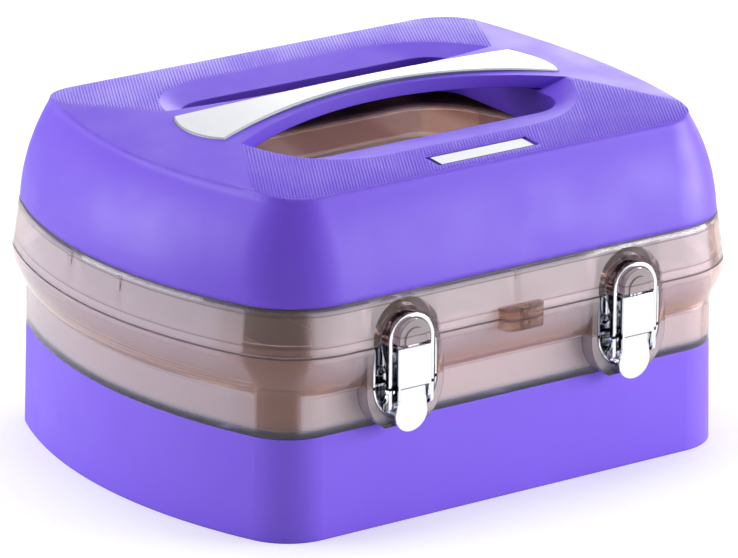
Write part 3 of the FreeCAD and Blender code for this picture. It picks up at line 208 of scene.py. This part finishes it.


# %% [markdown]
# The tub and the cover are satin moulded plastic in a strong violet. A mould is sandblasted to give
# such a skin, so its grain is far finer than a millimetre: it is a bump on a noise. Broad, faint
# clouds of colour and gloss stop large faces from looking computed. The crest of the cover is round
# in reality and sharp in CAD, so a Bevel node turns the normals within a few millimetres of it.
# Ambient occlusion finds narrow gaps and the grooves between ribs, and these get a painted shade of
# deeper violet.

# %% Satin violet plastic
VIOLET = (0.165, 0.07, 0.74)
VIOLET_DEEP = (0.145, 0.055, 0.70)
VIOLET_WORN = (0.25, 0.15, 0.80)
VIOLET_GAP_SHADE = (0.05, 0.02, 0.30)
# The tub's violet is lighter than the cover's: painted light for the stronger light on the tub's front.
TUB_VIOLET_LIT = (0.215, 0.104, 0.87)
TUB_DEEP_LIT = (0.195, 0.090, 0.82)
GROOVE_SIZE = 1.2 * MM
GRAIN_HEIGHT = 0.03 * MM
CREST_X, CREST_Y = 118 * MM, 92.5 * MM
CREST_ROUNDING, MOUTH_ROUNDING, TUB_ROUNDING, RIB_ROUNDING = 3.2 * MM, 0.6 * MM, 0.8 * MM, 0.1 * MM


def violet_plastic(edge_radius, deep=VIOLET_DEEP, light=VIOLET):
    def build(tree, shader):
        place = tree.place()
        rounded = tree.soft_edges(edge_radius(tree, place))
        scuffs = tree.product(tree.edge_share(rounded, 0.99, 0.75),
                              tree.ramp(tree.noise(place, 160, 4), 0.35, 0.8))
        body = tree.mix(tree.noise(place, 14, 3), deep, light)
        body = tree.mix(scuffs, body, VIOLET_WORN)
        # Painted shade of deeper violet in narrow gaps and between the ribs.
        gap_shade = tree.math("MULTIPLY", tree.crevice(GROOVE_SIZE), 0.75)
        tree.feed(shader.inputs["Base Color"], tree.mix(gap_shade, body, VIOLET_GAP_SHADE))
        tree.feed(shader.inputs["Roughness"], tree.ramp(tree.noise(place, 40, 4), 0.3, 0.7, 0.42, 0.52))
        grain = tree.noise(place, 2600, 2)
        tree.feed(shader.inputs["Normal"], tree.bump(grain, GRAIN_HEIGHT, 0.5, rounded))
        shader.inputs["IOR"].default_value = 1.5
    return build


def cover_radius(tree, place):
    """Wide round edges along the crest, narrow ones round the openings and recesses."""
    x, y, _ = tree.axes(place)
    outer = tree.largest(tree.math("GREATER_THAN", tree.math("ABSOLUTE", x), CREST_X),
                         tree.math("GREATER_THAN", tree.math("ABSOLUTE", y), CREST_Y))
    return tree.math("MULTIPLY_ADD", outer, CREST_ROUNDING - MOUTH_ROUNDING, MOUTH_ROUNDING)


satin_cover = finish("satin_violet_cover", violet_plastic(cover_radius))
satin_tub = finish("satin_violet_tub",
                   violet_plastic(lambda tree, place: TUB_ROUNDING, TUB_DEEP_LIT, TUB_VIOLET_LIT))
satin_ribs = finish("satin_violet_ribs", violet_plastic(lambda tree, place: RIB_ROUNDING))
dress(satin_cover, "lid_cover")
dress(satin_tub, "base_sleeve")

# %% [markdown]
# Two flat panels of the cover carry fine slanting ribs. Each rib is a straight line, so Python only
# works out where parallel lines cross the outline of a panel, and Geometry Nodes sweeps a small
# ellipse along them. The ellipse shrinks near both ends, which gives the rounded tips that catch the
# light as a row of beads.

# %% Geometry Nodes helper


def grow(name, seed, body, material, build, sizes):
    """Runs a Geometry Nodes tree over a mesh and keeps the outcome as a plain mesh on a body."""
    group = bpy.data.node_groups.new(name + "_tree", "GeometryNodeTree")
    for way in ("INPUT", "OUTPUT"):
        group.interface.new_socket("Geometry", in_out=way, socket_type="NodeSocketGeometry")
    keys = {}
    for label, value in sizes.items():
        socket = group.interface.new_socket(label, in_out="INPUT", socket_type="NodeSocketFloat")
        socket.default_value = value
        keys[label] = socket.identifier
    tree = Tree(group)
    start = tree.add("NodeGroupInput").outputs
    real = tree.add("GeometryNodeRealizeInstances", {"Geometry": build(tree, start)})
    coated = tree.add("GeometryNodeSetMaterial", {"Geometry": real.outputs[0], "Material": material})
    tree.add("NodeGroupOutput", {"Geometry": coated.outputs[0]})
    piece = bpy.data.objects.new(name, seed)
    bpy.context.scene.collection.objects.link(piece)
    modifier = piece.modifiers.new("grow", "NODES")
    modifier.node_group = group
    for label, key in keys.items():
        modifier[key] = sizes[label]
    piece.update_tag()
    bpy.context.view_layer.update()
    graph = bpy.context.evaluated_depsgraph_get()
    grown = bpy.data.meshes.new_from_object(piece.evaluated_get(graph))
    piece.modifiers.remove(modifier)
    piece.data = grown
    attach(piece, body)
    print(name, "faces:", len(grown.polygons))


# %% Where the ribs run
RIB_PITCH = 1.42 * MM
RIB_DIRECTION = np.array([0.5, 0.866])
RIB_OFFSET = 0.37
RIB_MARGIN = 0.9 * MM
CREST_MARGIN = 2.0 * MM
CREST_LEVEL = 92 * MM
PANEL_SLOPE = 0.0748
SAME_PLANE = 0.1 * MM


def panel_rim(mesh, slope):
    """The rim of a flat panel, as pairs of points, from the faces that lie in its plane."""
    normal = Vector((0, slope, 1)).normalized()
    level = [face for face in mesh.polygons if face.normal.dot(normal) > 0.99995]
    highest = max(face.center.dot(normal) for face in level)
    uses = {}
    for face in level:
        if highest - face.center.dot(normal) < SAME_PLANE:
            for key in face.edge_keys:
                uses[key] = uses.get(key, 0) + 1
    rim = [key for key, count in uses.items() if count == 1]
    return np.array([[mesh.vertices[i].co[:] for i in key] for key in rim])


def rib_lines(rim):
    """Parallel lines across the panel, cut at its rim."""
    across = np.array([RIB_DIRECTION[1], -RIB_DIRECTION[0]])
    first, second = rim[:, 0], rim[:, 1]
    low, high = first[:, :2] @ across, second[:, :2] @ across
    lines = []
    for step in range(math.ceil(low.min() / RIB_PITCH), math.floor(low.max() / RIB_PITCH) + 1):
        offset = (step + RIB_OFFSET) * RIB_PITCH
        crossing = (low - offset) * (high - offset) < 0
        share = ((offset - low[crossing]) / (high[crossing] - low[crossing]))[:, None]
        points = first[crossing] + (second[crossing] - first[crossing]) * share
        points = points[np.argsort(points[:, :2] @ RIB_DIRECTION)]
        for start, end in zip(points[::2], points[1::2]):
            run = end - start
            length = np.linalg.norm(run)
            margins = [CREST_MARGIN if abs(point[1]) > CREST_LEVEL else RIB_MARGIN
                       for point in (start, end)]
            if length > sum(margins) + RIB_PITCH:
                lines.append((start + run * margins[0] / length, end - run * margins[1] / length))
    return lines


ribs = []
for slope in (PANEL_SLOPE, -PANEL_SLOPE):
    ribs += rib_lines(panel_rim(nodes["lid_cover"].data, slope))
longest = max(np.linalg.norm(end - start) for start, end in ribs)
print("ribs:", len(ribs), "longest:", round(longest / MM, 1), "mm")

# %% Sweep the ribs
TIP_STEPS = (0.0, 0.12, 0.5, -0.5, -0.12, 0.0)
TIP_SIZES = (0.15, 0.72, 1.0, 1.0, 0.72, 0.15)


def rib_mesh(lines):
    """Edges along every rib, with a few points near its tips, and the width that each point has."""
    points, edges, widths = [], [], []
    for start, end in lines:
        way = (end - start) / np.linalg.norm(end - start)
        for index, step in enumerate(TIP_STEPS):
            root = start if index < len(TIP_STEPS) / 2 else end
            if index:
                edges.append((len(points) - 1, len(points)))
            points.append(root + way * step * MM)
            widths.append(TIP_SIZES[index])
    mesh = bpy.data.meshes.new("rib_lines")
    mesh.from_pydata([tuple(point) for point in points], edges, [])
    mesh.attributes.new("tip_size", "FLOAT", "POINT").data.foreach_set("value", widths)
    return mesh


def sweep(tree, start):
    curve = tree.add("GeometryNodeMeshToCurve", {"Mesh": start["Geometry"]})
    upright = tree.add("GeometryNodeSetCurveNormal", {"Curve": curve.outputs[0]}, mode="Z_UP")
    tip = tree.add("GeometryNodeInputNamedAttribute", {"Name": "tip_size"}, data_type="FLOAT")
    ring = tree.add("GeometryNodeCurvePrimitiveCircle", {"Resolution": 8, "Radius": 1.0})
    scale = tree.add("ShaderNodeCombineXYZ", {"X": start["Half width"], "Y": start["Height"], "Z": 1.0})
    oval = tree.add("GeometryNodeTransform", {"Geometry": ring.outputs[0], "Scale": scale.outputs[0]})
    rod = tree.add("GeometryNodeCurveToMesh", {
        "Curve": upright.outputs[0], "Profile Curve": oval.outputs[0],
        "Scale": tip.outputs[0], "Fill Caps": True})
    return tree.add("GeometryNodeSetShadeSmooth", {"Geometry": rod.outputs[0]}).outputs[0]


grow("cover_ribs", rib_mesh(ribs), "lid", satin_ribs, sweep,
     {"Half width": 0.45 * MM, "Height": 0.31 * MM})

# %% [markdown]
# The bowl and the lid liner are clear polystyrene with a smoke tint. Light passes two skins of each
# wall, so one wall tints twice, and refraction darkens a wall where it turns or ends. Masks, which are
# 1 in one zone and 0 outside it, add the rest: lugs are thicker and browner, the rims are blue grey,
# the corners and the latch recesses get a painted brown shade and the sides a painted mauve shade,
# the flare under the seam gets the painted shade of the tray behind it, warm at its crease, and the
# edges, the ledges and the seam get painted dark lines of shade.

# %% Zones of the smoky plastic
ROOF_LEVEL, ROOF_BLUR = 118 * MM, 8 * MM
SEAM_LEVEL, SEAM_HALF_WIDTH, SEAM_BLUR = 86.1 * MM, 0.4 * MM, 0.2 * MM
LEDGE_LEVEL, LINE_HALF_WIDTH, LINE_BLUR = 90.3 * MM, 0.2 * MM, 0.3 * MM
CREASE_LEVEL, CREASE_BLUR, FLARE_TOP, FLARE_BLUR = 67 * MM, 0.8 * MM, 83 * MM, 2 * MM
FLARE_COOL = SEAM_LEVEL - 6 * MM
TUB_BAND, COVER_BAND, BAND_FOOT = 6 * MM, 3.5 * MM, 3.6 * MM
COVER_SHADOW, COVER_SHADOW_FULL = 1.1 * MM, 0.5 * MM
LUG_HALF_WIDTH, LUG_BLUR, LUG_FACE, LUG_ROOT = 11 * MM, 2 * MM, -116.5 * MM, -114.5 * MM
LATCH_PLACE, ARCH_HEIGHT, ARCH_RADIUS, ARCH_BLUR = 61 * MM, 87.6 * MM, 17.2 * MM, 1 * MM
RECESS_MIDDLE, RECESS_HALF_DEPTH, RECESS_BLUR = -109.8 * MM, 5.8 * MM, 0.8 * MM
RECESS_FOOT_BLUR, SHADE_LEFT, SHADE_RIGHT = 0.5 * MM, -4 * MM, 7 * MM
EDGE_ROUNDING, HIDDEN_ROUNDING, HIDDEN_LOW, HIDDEN_HIGH = 0.7 * MM, 0.05 * MM, 6 * MM, 4 * MM
TUB_TOP = max(corner[2] for corner in nodes["base_sleeve"].bound_box)
COVER_FOOT = min(corner[2] for corner in nodes["lid_cover"].bound_box)
print("bowl seen from", round(TUB_TOP, 4), "to", round(COVER_FOOT, 4))


def latch_recess(tree, x, y, z):
    """The arched recess behind each strike, and the same mask faded towards its right side, which carries
    a painted brown shade.
    """
    from_latch = tree.math("SUBTRACT", tree.math("ABSOLUTE", x), LATCH_PLACE)
    above = tree.math("MAXIMUM", tree.math("SUBTRACT", z, ARCH_HEIGHT), 0.0)
    reach = tree.length(tree.add("ShaderNodeCombineXYZ", {"X": from_latch, "Y": above}).outputs[0])
    recess = tree.product(tree.ramp(reach, ARCH_RADIUS, ARCH_RADIUS + ARCH_BLUR, 1.0, 0.0),
                          tree.inside(y, RECESS_MIDDLE, RECESS_HALF_DEPTH, RECESS_BLUR),
                          tree.ramp(z, SEAM_LEVEL, SEAM_LEVEL + RECESS_FOOT_BLUR))
    rightwards = tree.math("MULTIPLY", tree.math("SIGN", x), from_latch)
    return recess, tree.product(recess, tree.ramp(rightwards, SHADE_LEFT, SHADE_RIGHT, 1.0, 0.2))


def smoke_zones(tree, place):
    """Masks of the zones where the plastic is thicker or clearer, or gets painted shade."""
    x, y, z = tree.axes(place)
    face_x, face_y, _ = tree.axes(tree.add("ShaderNodeNewGeometry").outputs["Normal"])
    diagonal = tree.math("ABSOLUTE", tree.math("MULTIPLY", face_x, face_y))
    wall = tree.ramp(z, ROOF_LEVEL - ROOF_BLUR, ROOF_LEVEL, 1.0, 0.0)
    low_rim = tree.ramp(z, TUB_TOP, TUB_TOP + TUB_BAND, 1.0, 0.0)
    high_rim = tree.product(tree.ramp(z, COVER_FOOT - COVER_BAND, COVER_FOOT), wall)
    shadow_start, shadow_full = COVER_FOOT - COVER_SHADOW, COVER_FOOT - COVER_SHADOW_FULL
    under_cover = tree.product(tree.ramp(z, shadow_start, shadow_full), wall)
    # Painted shade of the tray behind the wall, under the seam and warm at the crease.
    flare = tree.product(tree.ramp(z, CREASE_LEVEL, CREASE_LEVEL + CREASE_BLUR),
                         tree.ramp(z, FLARE_TOP, FLARE_TOP + FLARE_BLUR, 1.0, 0.0))
    recess, recess_shade = latch_recess(tree, x, y, z)
    return {
        "wall": wall,
        # Painted mauve shade on the walls that face left or right.
        "side": tree.ramp(tree.math("ABSOLUTE", face_x), 0.5, 0.95, 0.0, 0.6),
        # Painted brown shade on the corners.
        "corner": tree.ramp(diagonal, 0.28, 0.44),
        "rim": tree.largest(low_rim, high_rim),
        "flare": tree.product(flare, tree.ramp(z, CREASE_LEVEL, SEAM_LEVEL, 1.0, 0.5)),
        "flare_rise": tree.ramp(z, CREASE_LEVEL, FLARE_COOL),
        "lug": tree.product(tree.inside(x, 0, LUG_HALF_WIDTH, LUG_BLUR),
                            tree.ramp(y, LUG_FACE, LUG_ROOT, 1.0, 0.0)),
        "recess": recess,
        "recess_shade": recess_shade,
        "seam_shade": tree.largest(tree.inside(z, SEAM_LEVEL, SEAM_HALF_WIDTH, SEAM_BLUR), under_cover),
        "lines": tree.largest(tree.inside(z, LEDGE_LEVEL, LINE_HALF_WIDTH, LINE_BLUR),
                              tree.inside(z, COVER_FOOT - BAND_FOOT, LINE_HALF_WIDTH, LINE_BLUR)),
        "hidden_edge": tree.ramp(z, COVER_FOOT - HIDDEN_LOW, COVER_FOOT - HIDDEN_HIGH,
                                 EDGE_ROUNDING, HIDDEN_ROUNDING),
    }


# %% [markdown]
# The zones choose the tint one after the other. A little haze on the plain walls makes them milky,
# and the zones with painted shade, the lugs, the rims and the seam stay clear. Cycles treats light
# through glass as a caustic, which leaves the inside of a closed bowl too dark, so shadow rays pass
# straight through with the same tint. The roof of the liner lies flat over the tray: it mostly lets
# light straight through too, with faint bands from the flow of the plastic in the mould.

# %% Smoky clear plastic
SMOKE = (0.88, 0.79, 0.83)
SMOKE_THICK = (0.82, 0.72, 0.75)
SMOKE_CORNER_SHADE = (0.68, 0.51, 0.47)
SMOKE_SIDE_SHADE = (0.66, 0.57, 0.66)
SMOKE_EDGE_SHADE = (0.07, 0.05, 0.07)
SMOKE_RIM = (0.22, 0.25, 0.50)
SMOKE_FLARE_SHADE = (0.72, 0.60, 0.68)
SMOKE_CREASE_SHADE = (0.82, 0.62, 0.53)
ROOF_SMOKE = (0.76, 0.66, 0.60)
ROOF_DARK = (0.62, 0.50, 0.44)
AMBER = (0.47, 0.26, 0.15)
RECESS_SHADE_BROWN = (0.36, 0.24, 0.21)
HAZE, CLEAR_HAZE = 0.40, 0.08
RIM_STRENGTH, LINE_STRENGTH, EDGE_STRENGTH = 0.75, 0.55, 0.92
SEAM_ROUGHNESS = 0.6
ROOF_BENT = 0.12
LUG_ROUNDING = 2.8 * MM
WAVE_HEIGHT = 0.3 * MM


def smoke_tint(tree, place, zone):
    """The colour of the plastic, zone by zone, with painted shade on the sides, flare, corners and
    recesses.
    """
    tint = tree.mix(tree.noise(place, 9, 2), SMOKE, SMOKE_THICK)
    for share, colour in (
        (zone["side"], SMOKE_SIDE_SHADE),
        (zone["flare"], tree.mix(zone["flare_rise"], SMOKE_CREASE_SHADE, SMOKE_FLARE_SHADE)),
        (zone["corner"], SMOKE_CORNER_SHADE),
        (tree.math("MULTIPLY", zone["rim"], RIM_STRENGTH), SMOKE_RIM),
        (zone["lug"], AMBER),
        (zone["recess_shade"], RECESS_SHADE_BROWN),
    ):
        tint = tree.mix(share, tint, colour)
    return tint


def smoky_plastic(tree, shader):
    place = tree.place()
    zone = smoke_zones(tree, place)
    tint = smoke_tint(tree, place, zone)
    rounded = tree.soft_edges(tree.largest(zone["hidden_edge"],
                                           tree.math("MULTIPLY", zone["lug"], LUG_ROUNDING)))
    # Painted dark lines of shade on the sharp edges, at the seam and under the cover, fainter on the
    # ledges.
    edge = tree.largest(tree.edge_share(rounded, 0.985, 0.9), zone["seam_shade"],
                        tree.math("MULTIPLY", zone["lines"], LINE_STRENGTH))
    dark = tree.mix(tree.math("MULTIPLY", edge, EDGE_STRENGTH), tint, SMOKE_EDGE_SHADE)
    tree.feed(shader.inputs["Base Color"], dark)
    clear = tree.largest(tree.math("MULTIPLY", zone["flare"], 0.7), zone["corner"], zone["rim"],
                         zone["lug"], zone["recess"], zone["seam_shade"])
    haze = tree.product(tree.ramp(clear, 0, 1, HAZE, CLEAR_HAZE), zone["wall"])
    tree.feed(shader.inputs["Transmission Weight"], tree.math("SUBTRACT", 1.0, haze))
    shader.inputs["IOR"].default_value = 1.45
    gloss = tree.ramp(tree.noise(place, 55, 4), 0.3, 0.8, 0.02, 0.06)
    roughness = tree.largest(gloss, tree.math("MULTIPLY", zone["seam_shade"], SEAM_ROUGHNESS))
    tree.feed(shader.inputs["Roughness"], roughness)
    tree.feed(shader.inputs["Normal"], tree.bump(tree.noise(place, 30, 1), WAVE_HEIGHT, 0.3, rounded))
    bands = tree.ramp(tree.stretched_noise(place, (34, 4, 1), 1), 0.42, 0.58)
    passing = tree.mix(zone["wall"], tree.mix(bands, ROOF_DARK, ROOF_SMOKE), tint)
    straight = tree.add("ShaderNodeBsdfTransparent", {"Color": passing})
    shadow = tree.add("ShaderNodeLightPath").outputs["Is Shadow Ray"]
    bent = tree.product(tree.math("SUBTRACT", 1.0, shadow), tree.ramp(zone["wall"], 0, 1, ROOF_BENT, 1.0))
    return tree.add("ShaderNodeMixShader", {
        "Fac": bent, 1: straight.outputs["BSDF"], 2: shader.outputs["BSDF"],
    }).outputs["Shader"]


smoky = finish("smoky_clear_plastic", smoky_plastic)
dress(smoky, "lower_bowl", "lid_shell")

# %% [markdown]
# The latches and the two plates are bright plated metal. A mirror has almost no colour of its own,
# so its character comes from what it reflects, a slight waviness from pressing, and fine wiping marks
# that spread the highlight. Inside the latches, dark upright streaks are painted reflections of the
# sides of the bracket that mirror one another, and the thin sides of the plates get a painted shade.
# The pins are plainer turned steel.

# %% Bright metal and steel
CHROME = (0.93, 0.935, 0.95)
CHROME_SHADE = (0.86, 0.87, 0.90)
CHROME_EDGE_SHADE = (0.22, 0.23, 0.28)
CHROME_REFLECTION_AND_SHADE = (0.10, 0.12, 0.19)
# Painted shadow in the gap under the lever plate.
GAP_SHADOW = (0.012, 0.012, 0.016)
PLATE = (0.80, 0.81, 0.84)
PLATE_SHADE = (0.70, 0.71, 0.76)
STEEL = (0.56, 0.55, 0.54)
STEEL_DARK = (0.38, 0.37, 0.37)
PLATE_GAP = 0.8 * MM
LEVER_BACK, LEVER_FRONT = (-118.0 * MM, -117.2 * MM), (-121.05 * MM, -120.95 * MM)
NOTCH_HEIGHT, NOTCH_HALF_WIDTH, NOTCH_BLUR = 66.7 * MM, 0.6 * MM, 0.2 * MM


def latch_shade(tree, place):
    """Masks of the painted dark reflections inside a latch, and of the painted shadow in the gap between
    lever plate and tab.
    """
    _, y, z = tree.axes(place)
    reflection_streak = tree.ramp(tree.stretched_noise(place, (520, 520, 22), 2), 0.50, 0.60)
    gap_shadow = tree.product(tree.inside(z, NOTCH_HEIGHT, NOTCH_HALF_WIDTH, NOTCH_BLUR),
                       tree.ramp(y, *LEVER_FRONT))
    return tree.product(reflection_streak, tree.ramp(y, *LEVER_BACK), 0.85), gap_shadow


def latch_body(tree, place, body):
    """Adds the painted dark reflections and the painted shadow of the notch gap to a latch's colour."""
    reflection_streak, gap_shadow = latch_shade(tree, place)
    return tree.mix(gap_shadow, tree.mix(reflection_streak, body, CHROME_REFLECTION_AND_SHADE), GAP_SHADOW)


def plate_body(tree, place, body):
    """Paints shade on the thin sides of a plate, which face its seat."""
    upward = tree.axes(tree.add("ShaderNodeNewGeometry").outputs["True Normal"])[2]
    return tree.mix(tree.ramp(upward, 0.5, 0.85, 1.0, 0.0), body, CHROME_REFLECTION_AND_SHADE)


def bright_metal(edge, roughness, metallic, waviness, colours, shaded):
    def build(tree, shader):
        place = tree.place()
        shader.inputs["Metallic"].default_value = metallic
        rounded = tree.soft_edges(edge)
        # Painted shade on the sharp edges and in the gaps round the plates.
        edge_shade = tree.math("MULTIPLY", tree.edge_share(rounded, 0.99, 0.9), 0.6)
        body = tree.mix(tree.noise(place, 60, 3), *colours)
        body = tree.mix(tree.largest(edge_shade, tree.crevice(PLATE_GAP)), body, CHROME_EDGE_SHADE)
        tree.feed(shader.inputs["Base Color"], shaded(tree, place, body))
        marks = tree.stretched_noise(place, (90, 700, 700), 3)
        tree.feed(shader.inputs["Roughness"], tree.ramp(marks, 0.35, 0.8, roughness, roughness + 0.03))
        tree.feed(shader.inputs["Normal"], tree.bump(tree.noise(place, 120, 1), waviness, 0.5, rounded))
    return build


def turned_steel(tree, shader):
    place = tree.place()
    shader.inputs["Metallic"].default_value = 1.0
    rings = tree.stretched_noise(place, (6000, 400, 400), 2)
    tree.feed(shader.inputs["Base Color"], tree.mix(rings, STEEL_DARK, STEEL))
    tree.feed(shader.inputs["Roughness"], tree.ramp(rings, 0.3, 0.7, 0.22, 0.38))
    tree.feed(shader.inputs["Normal"], tree.bump(rings, 0.02 * MM, 0.6, tree.soft_edges(0.2 * MM)))


latch_chrome = finish("bright_latch_metal", bright_metal(
    0.5 * MM, 0.05, 1.0, 0.08 * MM, (CHROME_SHADE, CHROME), latch_body))
plate_chrome = finish("bright_plate_metal", bright_metal(
    0.7 * MM, 0.28, 0.4, 0.01 * MM, (PLATE_SHADE, PLATE), plate_body))
pin_steel = finish("turned_pin_steel", turned_steel)
dress(latch_chrome, "latch_base_left", "latch_base_right", "lever_left", "lever_right",
      "bail_left", "bail_right", "bracket_rivets")
dress(plate_chrome, "handle_plate", "badge_plate")
dress(pin_steel, "hinge_pins", "base_screws", "cover_screws", "lever_pins",
      "bail_pin_left", "bail_pin_right")

# %% [markdown]
# The tray lifts out of the bowl. With the lid closed it is seen only through the smoky plastic. Its
# own colour is a warm brown with the soft sheen of an unpolished mould; its edges get a pale painted
# highlight.

# %% Tray plastic
TRAY = (0.30, 0.185, 0.13)
TRAY_SHADE = (0.20, 0.12, 0.085)
TRAY_EDGE_HIGHLIGHT = (1.0, 0.88, 0.78)
TRAY_ROUNDING, TRAY_GRAIN = 0.8 * MM, 0.04 * MM


def tray_plastic(tree, shader):
    place = tree.place()
    rounded = tree.soft_edges(TRAY_ROUNDING)
    body = tree.mix(tree.noise(place, 18, 3), TRAY_SHADE, TRAY)
    # Pale painted highlight on the edges.
    tree.feed(shader.inputs["Base Color"], tree.mix(tree.edge_share(rounded), body, TRAY_EDGE_HIGHLIGHT))
    tree.feed(shader.inputs["Roughness"], tree.ramp(tree.noise(place, 70, 3), 0.3, 0.7, 0.42, 0.58))
    grain = tree.noise(place, 2200, 2)
    tree.feed(shader.inputs["Normal"], tree.bump(grain, TRAY_GRAIN, 0.5, rounded))


dress(finish("matte_tray_plastic", tray_plastic), "tray")

# %% [markdown]
# The studio is a pale floor under a white room. The floor and the room look white to the camera and
# to glass, while the light that they throw on the case stays plain: the Light Path node tells these
# rays apart. Mirrors see the room a little darker higher up, as it is when the ceiling is unlit.
# Far from the case the floor turns white, so that it has no horizon.

# %% Floor and room
FLOOR = (0.80, 0.80, 0.80)
FLOOR_LIFT = 0.36
FLOOR_FAR = 0.82
FADE_START, FADE_END = 1.5, 5.0
FLOOR_REACH = 12.0
ROOM_FILL = 0.24
ROOM_HIGH = 0.80
ROOM_RISE = (0.10, 0.28)


def seen_directly(tree):
    """1 for rays from the camera, a mirror or glass, 0 for the rest."""
    path = tree.add("ShaderNodeLightPath").outputs
    return tree.largest(path["Is Glossy Ray"], path["Is Transmission Ray"], path["Is Camera Ray"])


floor_mesh = bpy.data.meshes.new("studio_floor")
corners = [(x * FLOOR_REACH, y * FLOOR_REACH, 0) for x, y in ((-1, -1), (1, -1), (1, 1), (-1, 1))]
floor_mesh.from_pydata(corners, [], [(0, 1, 2, 3)])
floor = bpy.data.objects.new("studio_floor", floor_mesh)
bpy.context.scene.collection.objects.link(floor)

floor_paint = bpy.data.materials.new("studio_floor_paint")
tree = Tree(floor_paint)
paint = tree.add("ShaderNodeBsdfDiffuse", {"Color": FLOOR})
glow = tree.ramp(tree.length(tree.place()), FADE_START, FADE_END, FLOOR_LIFT, FLOOR_FAR)
lift = tree.add("ShaderNodeEmission", {"Strength": tree.product(seen_directly(tree), glow)})
both = tree.add("ShaderNodeAddShader", {0: paint.outputs["BSDF"], 1: lift.outputs["Emission"]})
tree.add("ShaderNodeOutputMaterial", {"Surface": both.outputs["Shader"]})
floor_mesh.materials.append(floor_paint)

room = bpy.data.worlds.new("studio_room")
bpy.context.scene.world = room
tree = Tree(room)
path = tree.add("ShaderNodeLightPath").outputs
rise = tree.axes(tree.add("ShaderNodeTexCoord").outputs["Generated"])[2]
mirrored = tree.product(path["Is Glossy Ray"], tree.ramp(rise, *ROOM_RISE, 1.0, ROOM_HIGH))
strength = tree.largest(path["Is Camera Ray"], path["Is Transmission Ray"], mirrored, ROOM_FILL)
air = tree.add("ShaderNodeBackground", {"Color": (1, 1, 1), "Strength": strength})
tree.add("ShaderNodeOutputWorld", {"Surface": air.outputs["Background"]})
print("room ready")

# %% [markdown]
# Four soft boxes light the case. The right front one is the main light of the long front, the left
# rear one lights the short left side, and the near corner between them falls darker. A low box behind
# on the right gives the sheen on the flat top, and one hangs above. Power is in watts, sizes are in
# metres.

# %% Soft boxes


def soft_box(name, place, aim, width, height, power):
    """A rectangular lamp that faces a point."""
    lamp_data = bpy.data.lights.new(name, "AREA")
    lamp_data.shape = "RECTANGLE"
    lamp_data.size, lamp_data.size_y = width, height
    lamp_data.energy = power
    lamp = bpy.data.objects.new(name, lamp_data)
    lamp.location = place
    lamp.rotation_mode = "QUATERNION"
    lamp.rotation_quaternion = (Vector(aim) - Vector(place)).to_track_quat("-Z", "Y")
    lamp.visible_camera = False
    bpy.context.scene.collection.objects.link(lamp)


CASE_MIDDLE = (0, 0, 0.08)
soft_box("right_front_box", (1.60, -1.12, 0.30), CASE_MIDDLE, 1.4, 0.8, 44)
soft_box("left_rear_box", (-1.45, 1.0, 0.5), CASE_MIDDLE, 1.3, 1.1, 22)
soft_box("right_rear_box", (1.5, 1.3, 0.42), CASE_MIDDLE, 1.8, 0.84, 13)
soft_box("top_box", (0.1, 0.2, 1.9), CASE_MIDDLE, 1.6, 1.2, 19)
print("lamps ready")
